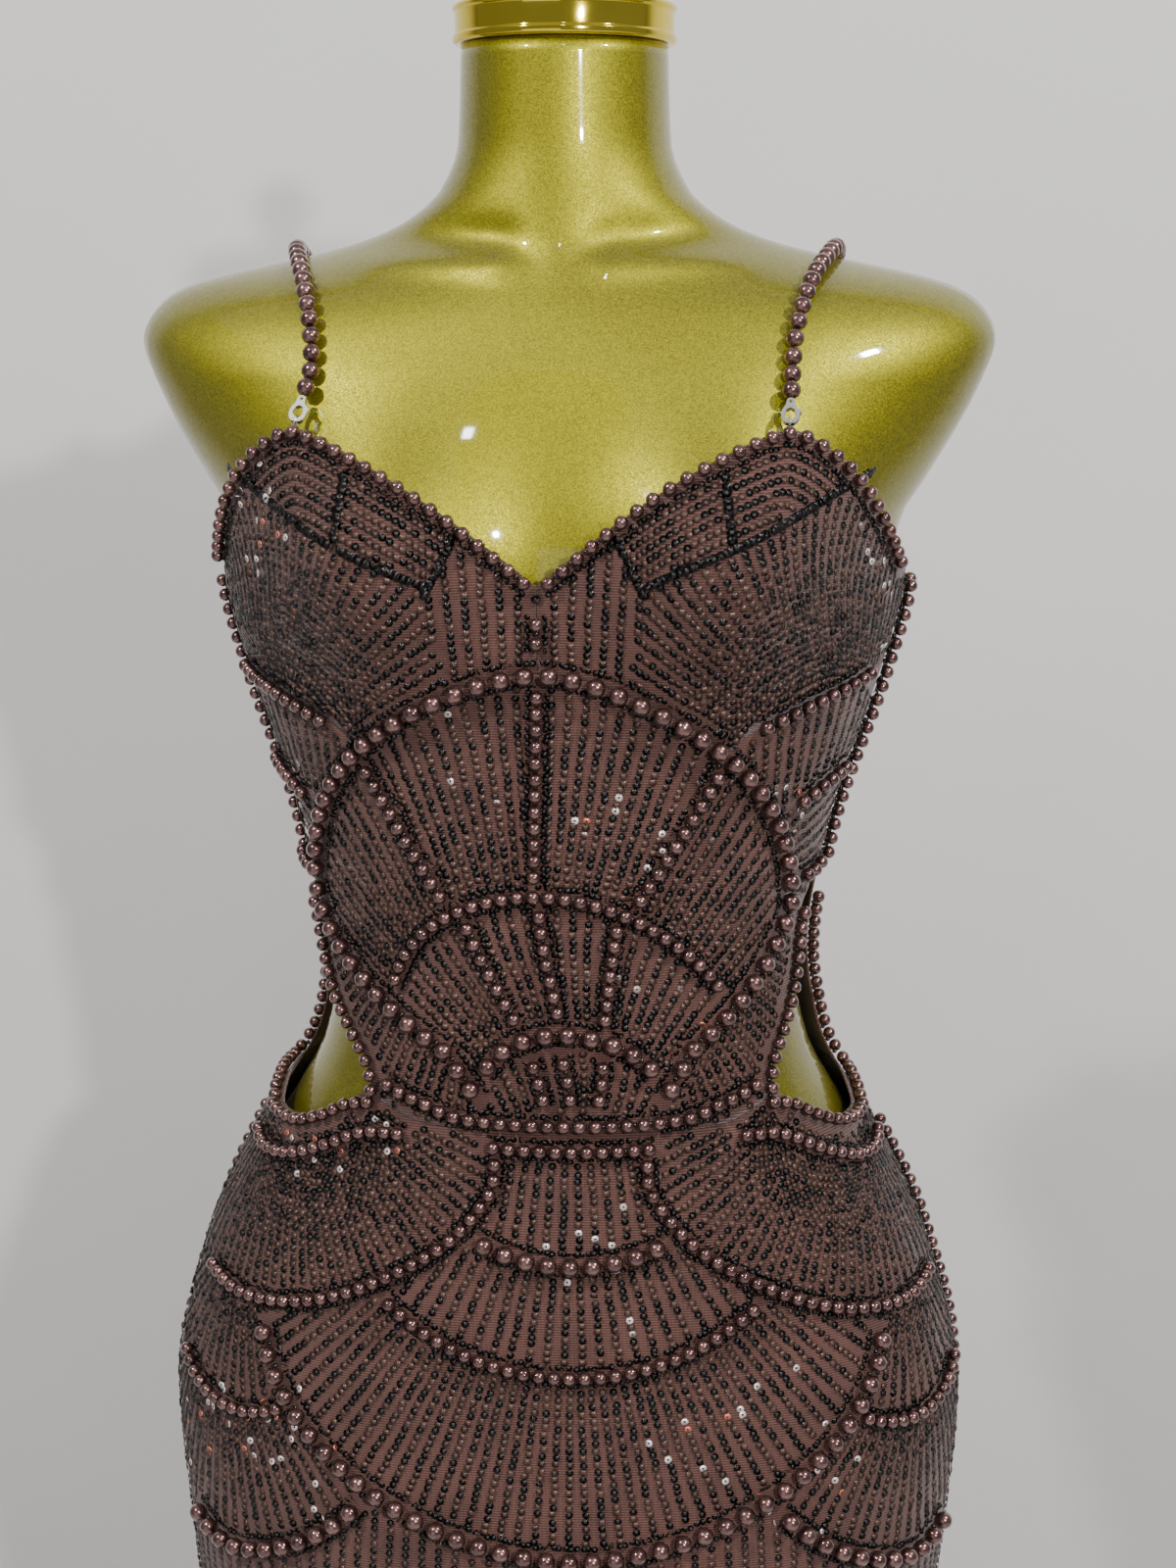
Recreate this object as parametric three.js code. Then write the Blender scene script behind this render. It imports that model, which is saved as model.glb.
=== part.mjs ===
// A floor-length evening gown, beaded with rows of pearls, on a limbless dress form with its stand.
// Millimetres, +Z up. The origin is the middle of the base's underside, and the front faces -Y.
// Places on the cloth are given by girth (mm round the gown from the centre front, + to +X) and height.

import * as THREE from 'three';

// Cloth, pearls and the gaps between pieces
const CLOTH = 1.6;
const SEAM_GAP = 0.3;
const LARGE_PEARL = 8;
const SMALL_PEARL = 6;
const THREAD_SHARE = 0.55;
const PLAIN_ROW_STEP = 17;
const CUTOUT_ROW_STEP = 9;
const CURVE_PARTS = 600;

// Heights of the gown's edges
const HEM_HEIGHT = 22;
const WAIST_HEIGHT = 1037;
const V_HEIGHT = 1269;
const STRAP_HEIGHT = 1332;
const ARMHOLE_HEIGHT = 1272;
const BACK_HEIGHT = 1236;

// Girths from the centre front
const STRAP_GIRTH = 103;
const ARMHOLE_GIRTH = 197;
const CUP_NOTCH_GIRTH = 80;
const UNDERBUST_GIRTH = 172;
const UNDERBUST_RISE = 33;

// Seams at the side, in degrees round from the centre front
const BODICE_SIDE = 86;
const SKIRT_SIDE = 98;

// The pattern sits off the form's centre, by -3 mm down to the oval's middle and +10.5 mm from the waist
const DRIFT_TOP = -3;
const DRIFT_CHANGE = 13.5;
const DRIFT_FROM = 1140;
const DRIFT_TO = 1048;

// Soft flutes in the skirt below the knee
const KNEE_HEIGHT = 470;
const FLUTE_COUNT = 14;
const FLUTE_DEPTH = 9;

// The bust, the same on cloth and form
const BUST = { apart: 78, height: 1276, out: 34, wide: 48, tall: 50 };

// The large oval on the midriff, with a rounder top than bottom
const OVAL = { height: 1128, wide: 115, up: 105, down: 80, roundTop: 1.75, roundBottom: 1.3 };

// Outer face of the cloth: height, half width, depth to the front and back, and squareness
const GOWN_SECTIONS = [
  { height: 22, half: 285, front: 262, back: 290, square: 2 },
  { height: 150, half: 236, front: 208, back: 232, square: 2 },
  { height: 300, half: 190, front: 158, back: 176, square: 2 },
  { height: 480, half: 157, front: 122, back: 130, square: 2.1 },
  { height: 640, half: 160, front: 118, back: 126, square: 2.2 },
  { height: 790, half: 174, front: 118, back: 130, square: 2.2 },
  { height: 890, half: 182, front: 111, back: 124, square: 2.2 },
  { height: 960, half: 166, front: 104, back: 112, square: 2.2 },
  { height: 1012, half: 142, front: 98, back: 94, square: 2.2 },
  { height: 1055, half: 118, front: 95, back: 82, square: 2.2 },
  { height: 1101, half: 110, front: 94, back: 79, square: 2.2 },
  { height: 1150, half: 117, front: 94, back: 81, square: 2.2 },
  { height: 1228, half: 141, front: 96, back: 90, square: 2.2 },
  { height: 1260, half: 149, front: 97, back: 95, square: 2.2 },
  { height: 1290, half: 152, front: 97, back: 98, square: 2.4 },
  { height: 1350, half: 164, front: 90, back: 98, square: 2.7 },
];

// The form's skin, with the same columns
const FORM_SECTIONS = [
  { height: 745, half: 162, front: 100, back: 116, square: 2.2 },
  { height: 790, half: 166, front: 102, back: 120, square: 2.2 },
  { height: 890, half: 176, front: 104, back: 118, square: 2.2 },
  { height: 960, half: 159, front: 94, back: 106, square: 2.2 },
  { height: 1012, half: 134, front: 85, back: 88, square: 2.2 },
  { height: 1055, half: 110, front: 79, back: 76, square: 2.2 },
  { height: 1101, half: 102, front: 79, back: 72, square: 2.2 },
  { height: 1150, half: 111, front: 82, back: 75, square: 2.2 },
  { height: 1228, half: 136, front: 87, back: 84, square: 2.2 },
  { height: 1275, half: 144, front: 88, back: 90, square: 2.2 },
  { height: 1290, half: 147, front: 87, back: 91, square: 2.2 },
  { height: 1305, half: 156, front: 85, back: 91, square: 2.2 },
  { height: 1330, half: 171, front: 81, back: 89, square: 2.2 },
  { height: 1350, half: 181, front: 76, back: 85, square: 2.2 },
  { height: 1369, half: 187, front: 69, back: 78, square: 2 },
  { height: 1382, half: 180, front: 63, back: 72, square: 1.75 },
  { height: 1391, half: 168, front: 58, back: 67, square: 1.5 },
  { height: 1398, half: 136, front: 55, back: 63, square: 1.35 },
  { height: 1404, half: 104, front: 52, back: 60, square: 1.4 },
  { height: 1413, half: 76, front: 50, back: 56, square: 1.7 },
  { height: 1430, half: 54, front: 47, back: 50, square: 2 },
  { height: 1450, half: 46, front: 45, back: 46, square: 2 },
  { height: 1490, half: 44.5, front: 44.5, back: 44.5, square: 2 },
];

// The side cut-outs: the front edge's girth and the back edge's angle, from bottom to apex
const CUTOUT_EDGES = [
  { height: 1050, girth: 92, angle: 98 },
  { height: 1060, girth: 95, angle: 98 },
  { height: 1072, girth: 104, angle: 97 },
  { height: 1084, girth: 114, angle: 96 },
  { height: 1100, girth: 124, angle: 93 },
  { height: 1122, girth: 132, angle: 89 },
  { height: 1136, girth: 150, angle: 86 },
];
const CUTOUT_TOP = 1136;
const CUTOUT_TIP = 12;

// The skirt's top edge: the waist seam, then the lower edge of the cut-out
const SKIRT_TOP = [
  { girth: 0, height: 1037 },
  { girth: 60, height: 1037 },
  { girth: 84, height: 1043 },
  { girth: 92, height: 1047 },
  { girth: 100, height: 1044 },
  { girth: 112, height: 1037 },
  { girth: 135, height: 1029 },
  { girth: 155, height: 1028 },
  { girth: 170, height: 1034 },
  { girth: 178, height: 1037 },
];

// How far the form stands and what carries it
const FORM_BOTTOM = 745;
const NECK_TOP = 1490;
const CAP = { radius: 48, height: 17, edge: 2.5 };
const KNOB = { foot: 13, stem: 7, ball: 15, height: 38 };
const POLE_RADIUS = 14;
const COLLAR = { radius: 34, height: 26, sleeve: 20, flange: 6 };
const BASE = { radius: 175, thick: 9, edge: 3, hub: 30, socket: 20, hubHeight: 34 };

// Grid sizes of the walls
const CUP_COLUMNS = 12;
const CUP_ROWS = 8;
const MIDRIFF_ROWS = 9;
const MIDRIFF_HALF_COLUMNS = CUP_COLUMNS;
const CUTOUT_COLUMNS = 6;
const SKIRT_ROWS = 14;
const BACK_COLUMNS = 18;
const BACK_ROWS = 10;
const FORM_COLUMNS = 30;

const mix = (from, to, share) => from + (to - from) * share;
const clamp = THREE.MathUtils.clamp;
const radians = THREE.MathUtils.degToRad;

// Reads a column of a table between its rows by a curve that never overshoots them
function readTable(table, key, column, at) {
  const x = clamp(at, table[0][key], table[table.length - 1][key]);
  let row = 0;
  while (row < table.length - 2 && x > table[row + 1][key]) row += 1;
  const width = (k) => table[k + 1][key] - table[k][key];
  const rise = (k) => (table[k + 1][column] - table[k][column]) / width(k);
  const slope = (k) => {
    if (k === 0) return rise(0);
    if (k === table.length - 1) return rise(k - 1);
    if (rise(k - 1) * rise(k) <= 0) return 0;
    const before = 2 * width(k) + width(k - 1);
    const after = width(k) + 2 * width(k - 1);
    return (before + after) / (before / rise(k - 1) + after / rise(k));
  };
  const w = width(row);
  const t = (x - table[row][key]) / w;
  const start = (1 + 2 * t) * (1 - t) ** 2 * table[row][column] + t * (1 - t) ** 2 * w * slope(row);
  return start + t * t * (3 - 2 * t) * table[row + 1][column] + t * t * (t - 1) * w * slope(row + 1);
}

// How far the bust stands forward of the plain section
function bustOut(x, height, cosine) {
  const front = clamp(cosine * 3, 0, 1);
  const lift = (side) =>
    Math.exp(-(((x - side * BUST.apart) / BUST.wide) ** 2) - ((height - BUST.height) / BUST.tall) ** 2);
  return BUST.out * front * (lift(-1) + lift(1));
}

// The section of a body at one height
function sectionAt(sections, height) {
  const section = { height };
  for (const column of ['half', 'front', 'back', 'square']) {
    section[column] = readTable(sections, 'height', column, height);
  }
  return section;
}

// A point on a section, at an angle in degrees from the centre front
function pointOn({ height, half, front, back, square }, angle, flute = 0) {
  const sine = Math.sin(radians(angle));
  const cosine = Math.cos(radians(angle));
  const depth = cosine > 0 ? front : back;
  const share = Math.abs(sine / half) ** square + Math.abs(cosine / depth) ** square;
  const radius = share ** (-1 / square) + flute;
  const x = radius * sine;
  return new THREE.Vector3(x, -radius * cosine - bustOut(x, height, cosine), height);
}

function flute(angle, height) {
  const down = clamp((KNEE_HEIGHT - height) / (KNEE_HEIGHT - HEM_HEIGHT), 0, 1);
  return FLUTE_DEPTH * down ** 1.5 * Math.cos(FLUTE_COUNT * radians(angle));
}

const formPoint = (angle, height) => pointOn(sectionAt(FORM_SECTIONS, height), angle);
const gownSurface = (angle, height) =>
  pointOn(sectionAt(GOWN_SECTIONS, height), angle, flute(angle, height));

// A point of the gown's outer face, moved out along the surface's normal
function gownPoint(angle, height, out = 0) {
  const point = gownSurface(angle, height);
  if (out === 0) return point;
  return point.addScaledVector(gownNormal(angle, height), out);
}

function gownNormal(angle, height) {
  const round = gownSurface(angle + 0.5, height).sub(gownSurface(angle - 0.5, height));
  const up = gownSurface(angle, height + 1).sub(gownSurface(angle, height - 1));
  return round.cross(up).normalize();
}

function drift(height) {
  const share = THREE.MathUtils.smoothstep(DRIFT_FROM - height, 0, DRIFT_FROM - DRIFT_TO);
  return DRIFT_TOP + DRIFT_CHANGE * share;
}

// The angle at which a girth from the pattern's centre lies, at one height
function angleOf(girth, height) {
  const along = girth + drift(height);
  const step = 2 * Math.sign(along);
  let angle = 0;
  let length = 0;
  const section = sectionAt(GOWN_SECTIONS, height);
  let here = pointOn(section, 0);
  while (Math.abs(angle) < 178) {
    const next = pointOn(section, angle + step);
    const stride = next.distanceTo(here);
    if (length + stride >= Math.abs(along)) return angle + (step * (Math.abs(along) - length)) / stride;
    length += stride;
    angle += step;
    here = next;
  }
  return angle;
}

// The girth of an angle, from the pattern's centre
function girthOf(angle, height) {
  const section = sectionAt(GOWN_SECTIONS, height);
  const steps = 44;
  let length = 0;
  for (let k = 0; k < steps; k += 1) {
    length += pointOn(section, (angle * (k + 1)) / steps).distanceTo(pointOn(section, (angle * k) / steps));
  }
  return Math.sign(angle) * length - drift(height);
}

// Edges of the panels, as heights over the girth from the centre

function cupTop(girth) {
  const away = Math.abs(girth);
  if (away < STRAP_GIRTH) {
    return mix(V_HEIGHT, STRAP_HEIGHT, 1 - (1 - away / STRAP_GIRTH) ** 1.35);
  }
  const share = Math.min((away - STRAP_GIRTH) / (ARMHOLE_GIRTH - STRAP_GIRTH), 1);
  return mix(STRAP_HEIGHT, ARMHOLE_HEIGHT, share ** 1.3);
}

function ovalTop(girth) {
  const share = Math.min(Math.abs(girth) / OVAL.wide, 1);
  return OVAL.height + OVAL.up * (1 - share ** OVAL.roundTop) ** (1 / OVAL.roundTop);
}

function ovalBottom(girth) {
  const share = Math.min(Math.abs(girth) / OVAL.wide, 1);
  return OVAL.height - OVAL.down * (1 - share ** OVAL.roundBottom) ** (1 / OVAL.roundBottom);
}

// The cup follows the oval to a notch, and rises from it to the side
function underbust(girth) {
  const away = Math.abs(girth);
  if (away < CUP_NOTCH_GIRTH) return ovalTop(away);
  const share = (away - CUP_NOTCH_GIRTH) / (UNDERBUST_GIRTH - CUP_NOTCH_GIRTH);
  return ovalTop(CUP_NOTCH_GIRTH) + UNDERBUST_RISE * Math.sqrt(share);
}

const skirtTop = (girth) => readTable(SKIRT_TOP, 'girth', 'height', Math.abs(girth));

// The front panel's side edge: the side seam, and below it the cut-out's front edge
function frontEdge(side, height) {
  const seam = girthOf(side * BODICE_SIDE, height);
  if (height >= CUTOUT_TOP) return seam;
  return side * Math.min(readTable(CUTOUT_EDGES, 'height', 'girth', height), Math.abs(seam));
}

const backEdgeAngle = (height) => readTable(CUTOUT_EDGES, 'height', 'angle', height);

// The back's top edge falls from the armhole to the centre back
function backTop(angle) {
  const share = clamp((Math.abs(angle) - BODICE_SIDE) / (180 - BODICE_SIDE), 0, 1);
  return mix(ARMHOLE_HEIGHT, BACK_HEIGHT, Math.sin((share * Math.PI) / 2) ** 0.8);
}

// Makes one closed mesh from a grid of outer points over a grid of inner points
function wallGeometry(columns, rows, outerAt, innerAt) {
  const positions = [];
  const indices = [];
  const stride = rows + 1;
  const layer = (columns + 1) * stride;
  for (const pointAt of [outerAt, innerAt]) {
    for (let i = 0; i <= columns; i += 1) {
      for (let j = 0; j <= rows; j += 1) {
        positions.push(...pointAt(i, j).toArray());
      }
    }
  }
  const face = (a, b, c, d) => indices.push(a, b, c, a, c, d);
  const outer = (i, j) => i * stride + j;
  const inner = (i, j) => layer + i * stride + j;
  for (let i = 0; i < columns; i += 1) {
    for (let j = 0; j < rows; j += 1) {
      face(outer(i, j), outer(i + 1, j), outer(i + 1, j + 1), outer(i, j + 1));
      face(inner(i, j), inner(i, j + 1), inner(i + 1, j + 1), inner(i + 1, j));
    }
    face(outer(i, 0), inner(i, 0), inner(i + 1, 0), outer(i + 1, 0));
    face(outer(i, rows), outer(i + 1, rows), inner(i + 1, rows), inner(i, rows));
  }
  for (let j = 0; j < rows; j += 1) {
    face(outer(0, j), outer(0, j + 1), inner(0, j + 1), inner(0, j));
    face(outer(columns, j), inner(columns, j), inner(columns, j + 1), outer(columns, j + 1));
  }
  return closedGeometry(positions, indices);
}

function closedGeometry(positions, indices) {
  const geometry = new THREE.BufferGeometry();
  geometry.setAttribute('position', new THREE.Float32BufferAttribute(positions, 3));
  geometry.setIndex(indices);
  geometry.computeVertexNormals();
  return geometry;
}

// A panel of the gown: placeAt gives the angle and height of each grid point
function panel(columns, rows, placeAt) {
  const places = [];
  for (let i = 0; i <= columns; i += 1) {
    places.push([]);
    for (let j = 0; j <= rows; j += 1) {
      places[i].push(placeAt(i, j));
    }
  }
  const layerAt = (out) => (i, j) => gownPoint(places[i][j].angle, places[i][j].height, out);
  return wallGeometry(columns, rows, layerAt(0), layerAt(-CLOTH));
}

// A place whose girth is a share of the way to the side edge, between a lower and an upper edge
function placeBetween(side, share, rise, lower, upper) {
  let height = mix(lower(0), upper(0), rise);
  let girth = 0;
  for (let round = 0; round < 14; round += 1) {
    girth = share * frontEdge(side, height);
    height = mix(height, mix(lower(girth), upper(girth), rise), 0.8);
  }
  return { girth, height };
}

function cup(side) {
  const lower = (girth) => underbust(girth) + SEAM_GAP / 2;
  return panel(CUP_COLUMNS, CUP_ROWS, (i, j) => {
    const column = side > 0 ? i : CUP_COLUMNS - i;
    const place = placeBetween(side, column / CUP_COLUMNS, j / CUP_ROWS, lower, cupTop);
    const inset = column === 0 ? side * SEAM_GAP / 2 : 0;
    return { angle: angleOf(place.girth + inset, place.height), height: place.height };
  });
}

// A grid place of the midriff, from the waist seam up to the cups and out to both side edges
function midriffPlace(i, j) {
  const share = (i - MIDRIFF_HALF_COLUMNS) / MIDRIFF_HALF_COLUMNS;
  const lower = (girth) => skirtTop(girth) + SEAM_GAP / 2;
  const upper = (girth) => underbust(girth) - SEAM_GAP / 2;
  return placeBetween(share < 0 ? -1 : 1, Math.abs(share), j / MIDRIFF_ROWS, lower, upper);
}

function midriffFront() {
  return panel(2 * MIDRIFF_HALF_COLUMNS, MIDRIFF_ROWS, (i, j) => {
    const { girth, height } = midriffPlace(i, j);
    return { angle: angleOf(girth, height), height };
  });
}

// The back runs round behind, from the side seams and the cut-outs' back edges
function bodiceBack() {
  return panel(BACK_COLUMNS, BACK_ROWS, (i, j) => {
    const round = i / BACK_COLUMNS;
    let angle = 180;
    let height = WAIST_HEIGHT;
    for (let turn = 0; turn < 14; turn += 1) {
      const edge = backEdgeAngle(height) + 0.2;
      angle = mix(edge, 360 - edge, round);
      const top = backTop(180 - Math.abs(180 - angle));
      height = mix(height, mix(WAIST_HEIGHT + SEAM_GAP / 2, top, j / BACK_ROWS), 0.8);
    }
    return { angle, height };
  });
}

// The height of the skirt's top edge at an angle
function skirtTopAt(angle) {
  let height = WAIST_HEIGHT;
  for (let round = 0; round < 6; round += 1) {
    height = skirtTop(girthOf(angle, height));
  }
  return height - SEAM_GAP / 2;
}

// The skirt's front, whose columns start where the midriff's end and go on below the cut-outs
function skirtFront() {
  const seam = [];
  for (let i = 0; i <= 2 * MIDRIFF_HALF_COLUMNS; i += 1) {
    const { girth, height } = midriffPlace(i, 0);
    seam.push({ angle: angleOf(girth, height), top: height - SEAM_GAP });
  }
  const beside = (side, k) => {
    const from = side > 0 ? seam[seam.length - 1].angle : seam[0].angle;
    const angle = mix(from, side * (SKIRT_SIDE - 0.05), k / CUTOUT_COLUMNS);
    return { angle, top: skirtTopAt(angle) };
  };
  const left = [];
  const right = [];
  for (let k = 1; k <= CUTOUT_COLUMNS; k += 1) {
    left.unshift(beside(-1, k));
    right.push(beside(1, k));
  }
  const columns = [...left, ...seam, ...right];
  return panel(columns.length - 1, SKIRT_ROWS, (i, j) => skirtPlace(columns[i], j));
}

// Rows lie closer together at the hips than down the skirt
function skirtPlace({ angle, top }, j) {
  return { angle, height: mix(HEM_HEIGHT, top, (j / SKIRT_ROWS) ** 0.72) };
}

function skirtBack() {
  const top = WAIST_HEIGHT - SEAM_GAP / 2;
  return panel(BACK_COLUMNS, SKIRT_ROWS, (i, j) => {
    const angle = mix(SKIRT_SIDE + 0.2, 360 - SKIRT_SIDE - 0.2, i / BACK_COLUMNS);
    return skirtPlace({ angle, top }, j);
  });
}

// Curves in the pattern's plane, each a list of girth and height

function arc(centreGirth, centreHeight, wide, tall, from, to, round = 2) {
  const points = [];
  const steps = 48;
  for (let k = 0; k <= steps; k += 1) {
    const turn = radians(mix(from, to, k / steps));
    const bend = (value) => Math.sign(value) * Math.abs(value) ** (2 / round);
    points.push([centreGirth + wide * bend(Math.cos(turn)), centreHeight + tall * bend(Math.sin(turn))]);
  }
  return points;
}

function smooth(points) {
  const corners = points.map(([girth, height]) => new THREE.Vector3(girth, height, 0));
  const curve = new THREE.CatmullRomCurve3(corners);
  return curve.getPoints(10 * points.length).map((point) => [point.x, point.y]);
}

function along(edge, from, to, inset) {
  const points = [];
  const steps = 40;
  for (let k = 0; k <= steps; k += 1) {
    const girth = mix(from, to, k / steps);
    points.push([girth, edge(girth) - inset]);
  }
  return points;
}

// Kinds of row: its pearl, its clearance over the cloth and its pitch; without a pitch it is a plain cord
const LARGE_ROW = { pearl: LARGE_PEARL, clear: 0.5, pitch: 10 };
const EDGE_ROW = { pearl: SMALL_PEARL, clear: 0.5, pitch: 8 };
const SMALL_ROW = { pearl: SMALL_PEARL, clear: 0.8 };

// Rows of pearls on the right of the pattern; each is mirrored to the left
const PAIRED_ROWS = [
  { name: 'neckline', kind: EDGE_ROW, path: along(cupTop, 2, 193, 2.5) },
  { name: 'underbust', kind: SMALL_ROW, path: along(underbust, 92, 163, -1) },
  { name: 'rib_upper', kind: SMALL_ROW, path: smooth([[154, 1186], [134, 1181], [115, 1173]]) },
  { name: 'rib_lower', kind: SMALL_ROW, path: smooth([[147, 1143], [136, 1140], [125, 1139]]) },
  { name: 'oval_spoke', kind: SMALL_ROW, path: smooth([[76, 1192], [58, 1162], [40, 1134.5]]) },
  { name: 'fan_spoke', kind: SMALL_ROW, path: smooth([[32, 1127.5], [25, 1105], [18, 1083]]) },
  { name: 'foot_spoke', kind: SMALL_ROW, path: smooth([[15, 1069], [13, 1058], [11, 1048]]) },
  {
    name: 'hip_edge',
    kind: SMALL_ROW,
    path: smooth([[72, 1032], [92, 1030], [112, 1021], [134, 1013], [154, 1011], [170, 1015]]),
  },
  {
    name: 'hip_scallop',
    kind: SMALL_ROW,
    path: smooth([[32, 1026], [33, 1013], [39, 1003], [47, 993], [60, 982], [80, 970], [104, 959],
      [130, 952], [158, 950], [184, 955]]),
  },
  { name: 'side_scallop_upper', kind: SMALL_ROW, path: arc(158, 960, 61, 61, 242, 312) },
  {
    name: 'side_scallop_lower',
    kind: LARGE_ROW,
    path: smooth([[92, 869], [108, 855], [134, 841], [164, 834], [192, 841]]),
  },
];

const CENTRE_ROWS = [
  { name: 'centre_front', kind: SMALL_ROW, path: smooth([[0, 1258], [0, 1250], [0, 1242]]) },
  { name: 'oval_spoke_middle', kind: SMALL_ROW, path: smooth([[0, 1227], [-1, 1185], [-2, 1144]]) },
  { name: 'fan_spoke_middle', kind: SMALL_ROW, path: smooth([[0, 1134], [0, 1108], [0, 1086]]) },
  { name: 'fan_arc', kind: SMALL_ROW, path: arc(0, 1059, 80, 80, 153, 27) },
  { name: 'inner_fan_arc', kind: LARGE_ROW, path: arc(0, 1048, 40, 32, 156, 24) },
  { name: 'foot_spoke_middle', kind: SMALL_ROW, path: smooth([[-2, 1071], [-1, 1060], [0, 1048]]) },
  {
    name: 'waist_upper',
    kind: SMALL_ROW,
    path: smooth([[-84, 1053], [-73, 1049], [-62, 1046], [-50, 1042], [-28, 1040.5], [0, 1040], [28, 1040.5],
      [50, 1042], [62, 1046], [73, 1049], [84, 1053]]),
  },
  { name: 'waist_lower', kind: SMALL_ROW, path: smooth([[-36, 1030], [0, 1029], [36, 1030]]) },
  { name: 'hip_band_upper', kind: LARGE_ROW, path: arc(0, 1069, 89, 89, 243, 297) },
  { name: 'hip_band_lower', kind: SMALL_ROW, path: arc(0, 1062, 128, 130, 231, 309) },
  { name: 'hip_fan', kind: LARGE_ROW, path: arc(0, 946, 141, 94, 184, 356, 1.8) },
];

// The oval's row, from beside the innermost fan up, over the top and down again
function ovalRow() {
  const points = [[39, 1051], [46, 1061]];
  const start = 52;
  const steps = 30;
  for (let k = 0; k <= steps; k += 1) {
    const girth = mix(start, OVAL.wide, Math.sin((k / steps) * Math.PI * 0.5));
    points.push([girth, ovalBottom(girth)]);
  }
  for (let k = 1; k <= steps; k += 1) {
    const girth = OVAL.wide * Math.cos((k / steps) * Math.PI * 0.5);
    points.push([girth, ovalTop(girth)]);
  }
  const other = points.slice(0, -1).reverse();
  return [...points, ...other.map(([girth, height]) => [-girth, height])];
}

// A row down a seam that lies at one angle
function seamRow(side, angle, from, to) {
  const places = [];
  const steps = 30;
  for (let k = 0; k <= steps; k += 1) {
    places.push({ angle: side * angle, height: mix(from, to, k / steps) });
  }
  return places;
}

// Round a cut-out: down its front edge, along the skirt's top and up its back edge
function cutoutRow(side) {
  const inset = 3;
  const places = [];
  const front = (height) => angleOf(side * (Math.abs(frontEdge(side, height)) - inset), height);
  for (let height = CUTOUT_TOP - CUTOUT_TIP; height >= CUTOUT_EDGES[0].height; height -= 4) {
    places.push({ angle: front(height), height });
  }
  const back = side * (SKIRT_SIDE + 0.5);
  const steps = 9;
  for (let k = 0; k <= steps; k += 1) {
    const angle = mix(front(CUTOUT_EDGES[0].height - 4), back, k / steps);
    places.push({ angle, height: skirtTopAt(angle) - inset });
  }
  for (let height = WAIST_HEIGHT + 5; height <= CUTOUT_TOP - CUTOUT_TIP; height += 4) {
    places.push({ angle: side * (backEdgeAngle(height) + 2), height });
  }
  return places;
}

function backEdgeRow() {
  const places = [];
  for (let angle = BODICE_SIDE + 5; angle <= 360 - BODICE_SIDE - 5; angle += 4) {
    places.push({ angle, height: backTop(180 - Math.abs(180 - angle)) - 3 });
  }
  return places;
}

// A strand of pearls along places on the gown, which swells bead by bead where its kind has a pitch
function pearlRow(places, { pearl, clear, pitch }, plainStep = PLAIN_ROW_STEP) {
  const swells = pitch !== undefined;
  const out = clear + pearl / 2;
  const centres = places.map(({ angle, height }) => gownPoint(angle, height, out));
  const curve = new THREE.CatmullRomCurve3(centres);
  curve.arcLengthDivisions = CURVE_PARTS;
  const count = Math.max(2, Math.round(curve.getLength() / (pitch ?? plainStep)));
  const steps = swells ? 2 * count : count;
  const normals = places.map(({ angle, height }) => gownNormal(angle, height));
  const normalCurve = new THREE.CatmullRomCurve3(normals);
  const sections = [];
  for (let k = 0; k <= steps; k += 1) {
    const t = curve.getUtoTmapping(k / steps);
    const waist = swells && k % 2 === 0;
    sections.push({
      centre: curve.getPoint(t),
      tangent: curve.getTangent(t),
      normal: normalCurve.getPoint(t).normalize(),
      radius: (pearl / 2) * (waist ? THREAD_SHARE : 1),
    });
  }
  return strandGeometry(sections);
}

// A strand with a four-sided section, one corner pointing out
function strandGeometry(sections) {
  const sides = 4;
  const positions = [];
  for (const { centre, tangent, normal, radius } of sections) {
    const across = new THREE.Vector3().crossVectors(tangent, normal).normalize();
    const out = new THREE.Vector3().crossVectors(across, tangent).normalize();
    for (let k = 0; k < sides; k += 1) {
      const turn = (k / sides) * Math.PI * 2;
      const corner = centre.clone().addScaledVector(out, radius * Math.cos(turn));
      positions.push(...corner.addScaledVector(across, radius * Math.sin(turn)).toArray());
    }
  }
  const indices = [];
  const last = (sections.length - 1) * sides;
  for (let ring = 0; ring < last; ring += sides) {
    for (let k = 0; k < sides; k += 1) {
      const next = (k + 1) % sides;
      indices.push(ring + k, ring + next, ring + sides + next);
      indices.push(ring + k, ring + sides + next, ring + sides + k);
    }
  }
  indices.push(0, 2, 1, 0, 3, 2);
  indices.push(last, last + 1, last + 2, last, last + 2, last + 3);
  return closedGeometry(positions, indices);
}

// Shoulder straps: strands of large pearls from the clasp over the shoulder to the back's top edge

const STRAP = { lift: 4.9, front: 99, shoulder: 118, back: 78, from: 25, to: 225.5, crest: 0.35 };
const SHOULDER = { depth: 5, height: 1320, reach: 160 };

// A sprung hook clasp with a wide loop at its foot and an eye at its top, and the ring that ties it on
const CLASP = {
  length: 12.5,
  half: 3.7,
  neck: 1.7,
  thick: 2.2,
  loop: 2.3,
  loopTall: 3.2,
  bar: 1.4,
  eye: 0.75,
  lever: 0.9,
};
const TIE_RING = { radius: 2.2, wire: 0.45 };
const RING_HEIGHT = SEAM_GAP + TIE_RING.wire + TIE_RING.radius;
const CLASP_FOOT = RING_HEIGHT - CLASP.bar / 2;
const STRAP_FOOT = CLASP_FOOT + CLASP.length + 2 * SEAM_GAP;

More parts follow.
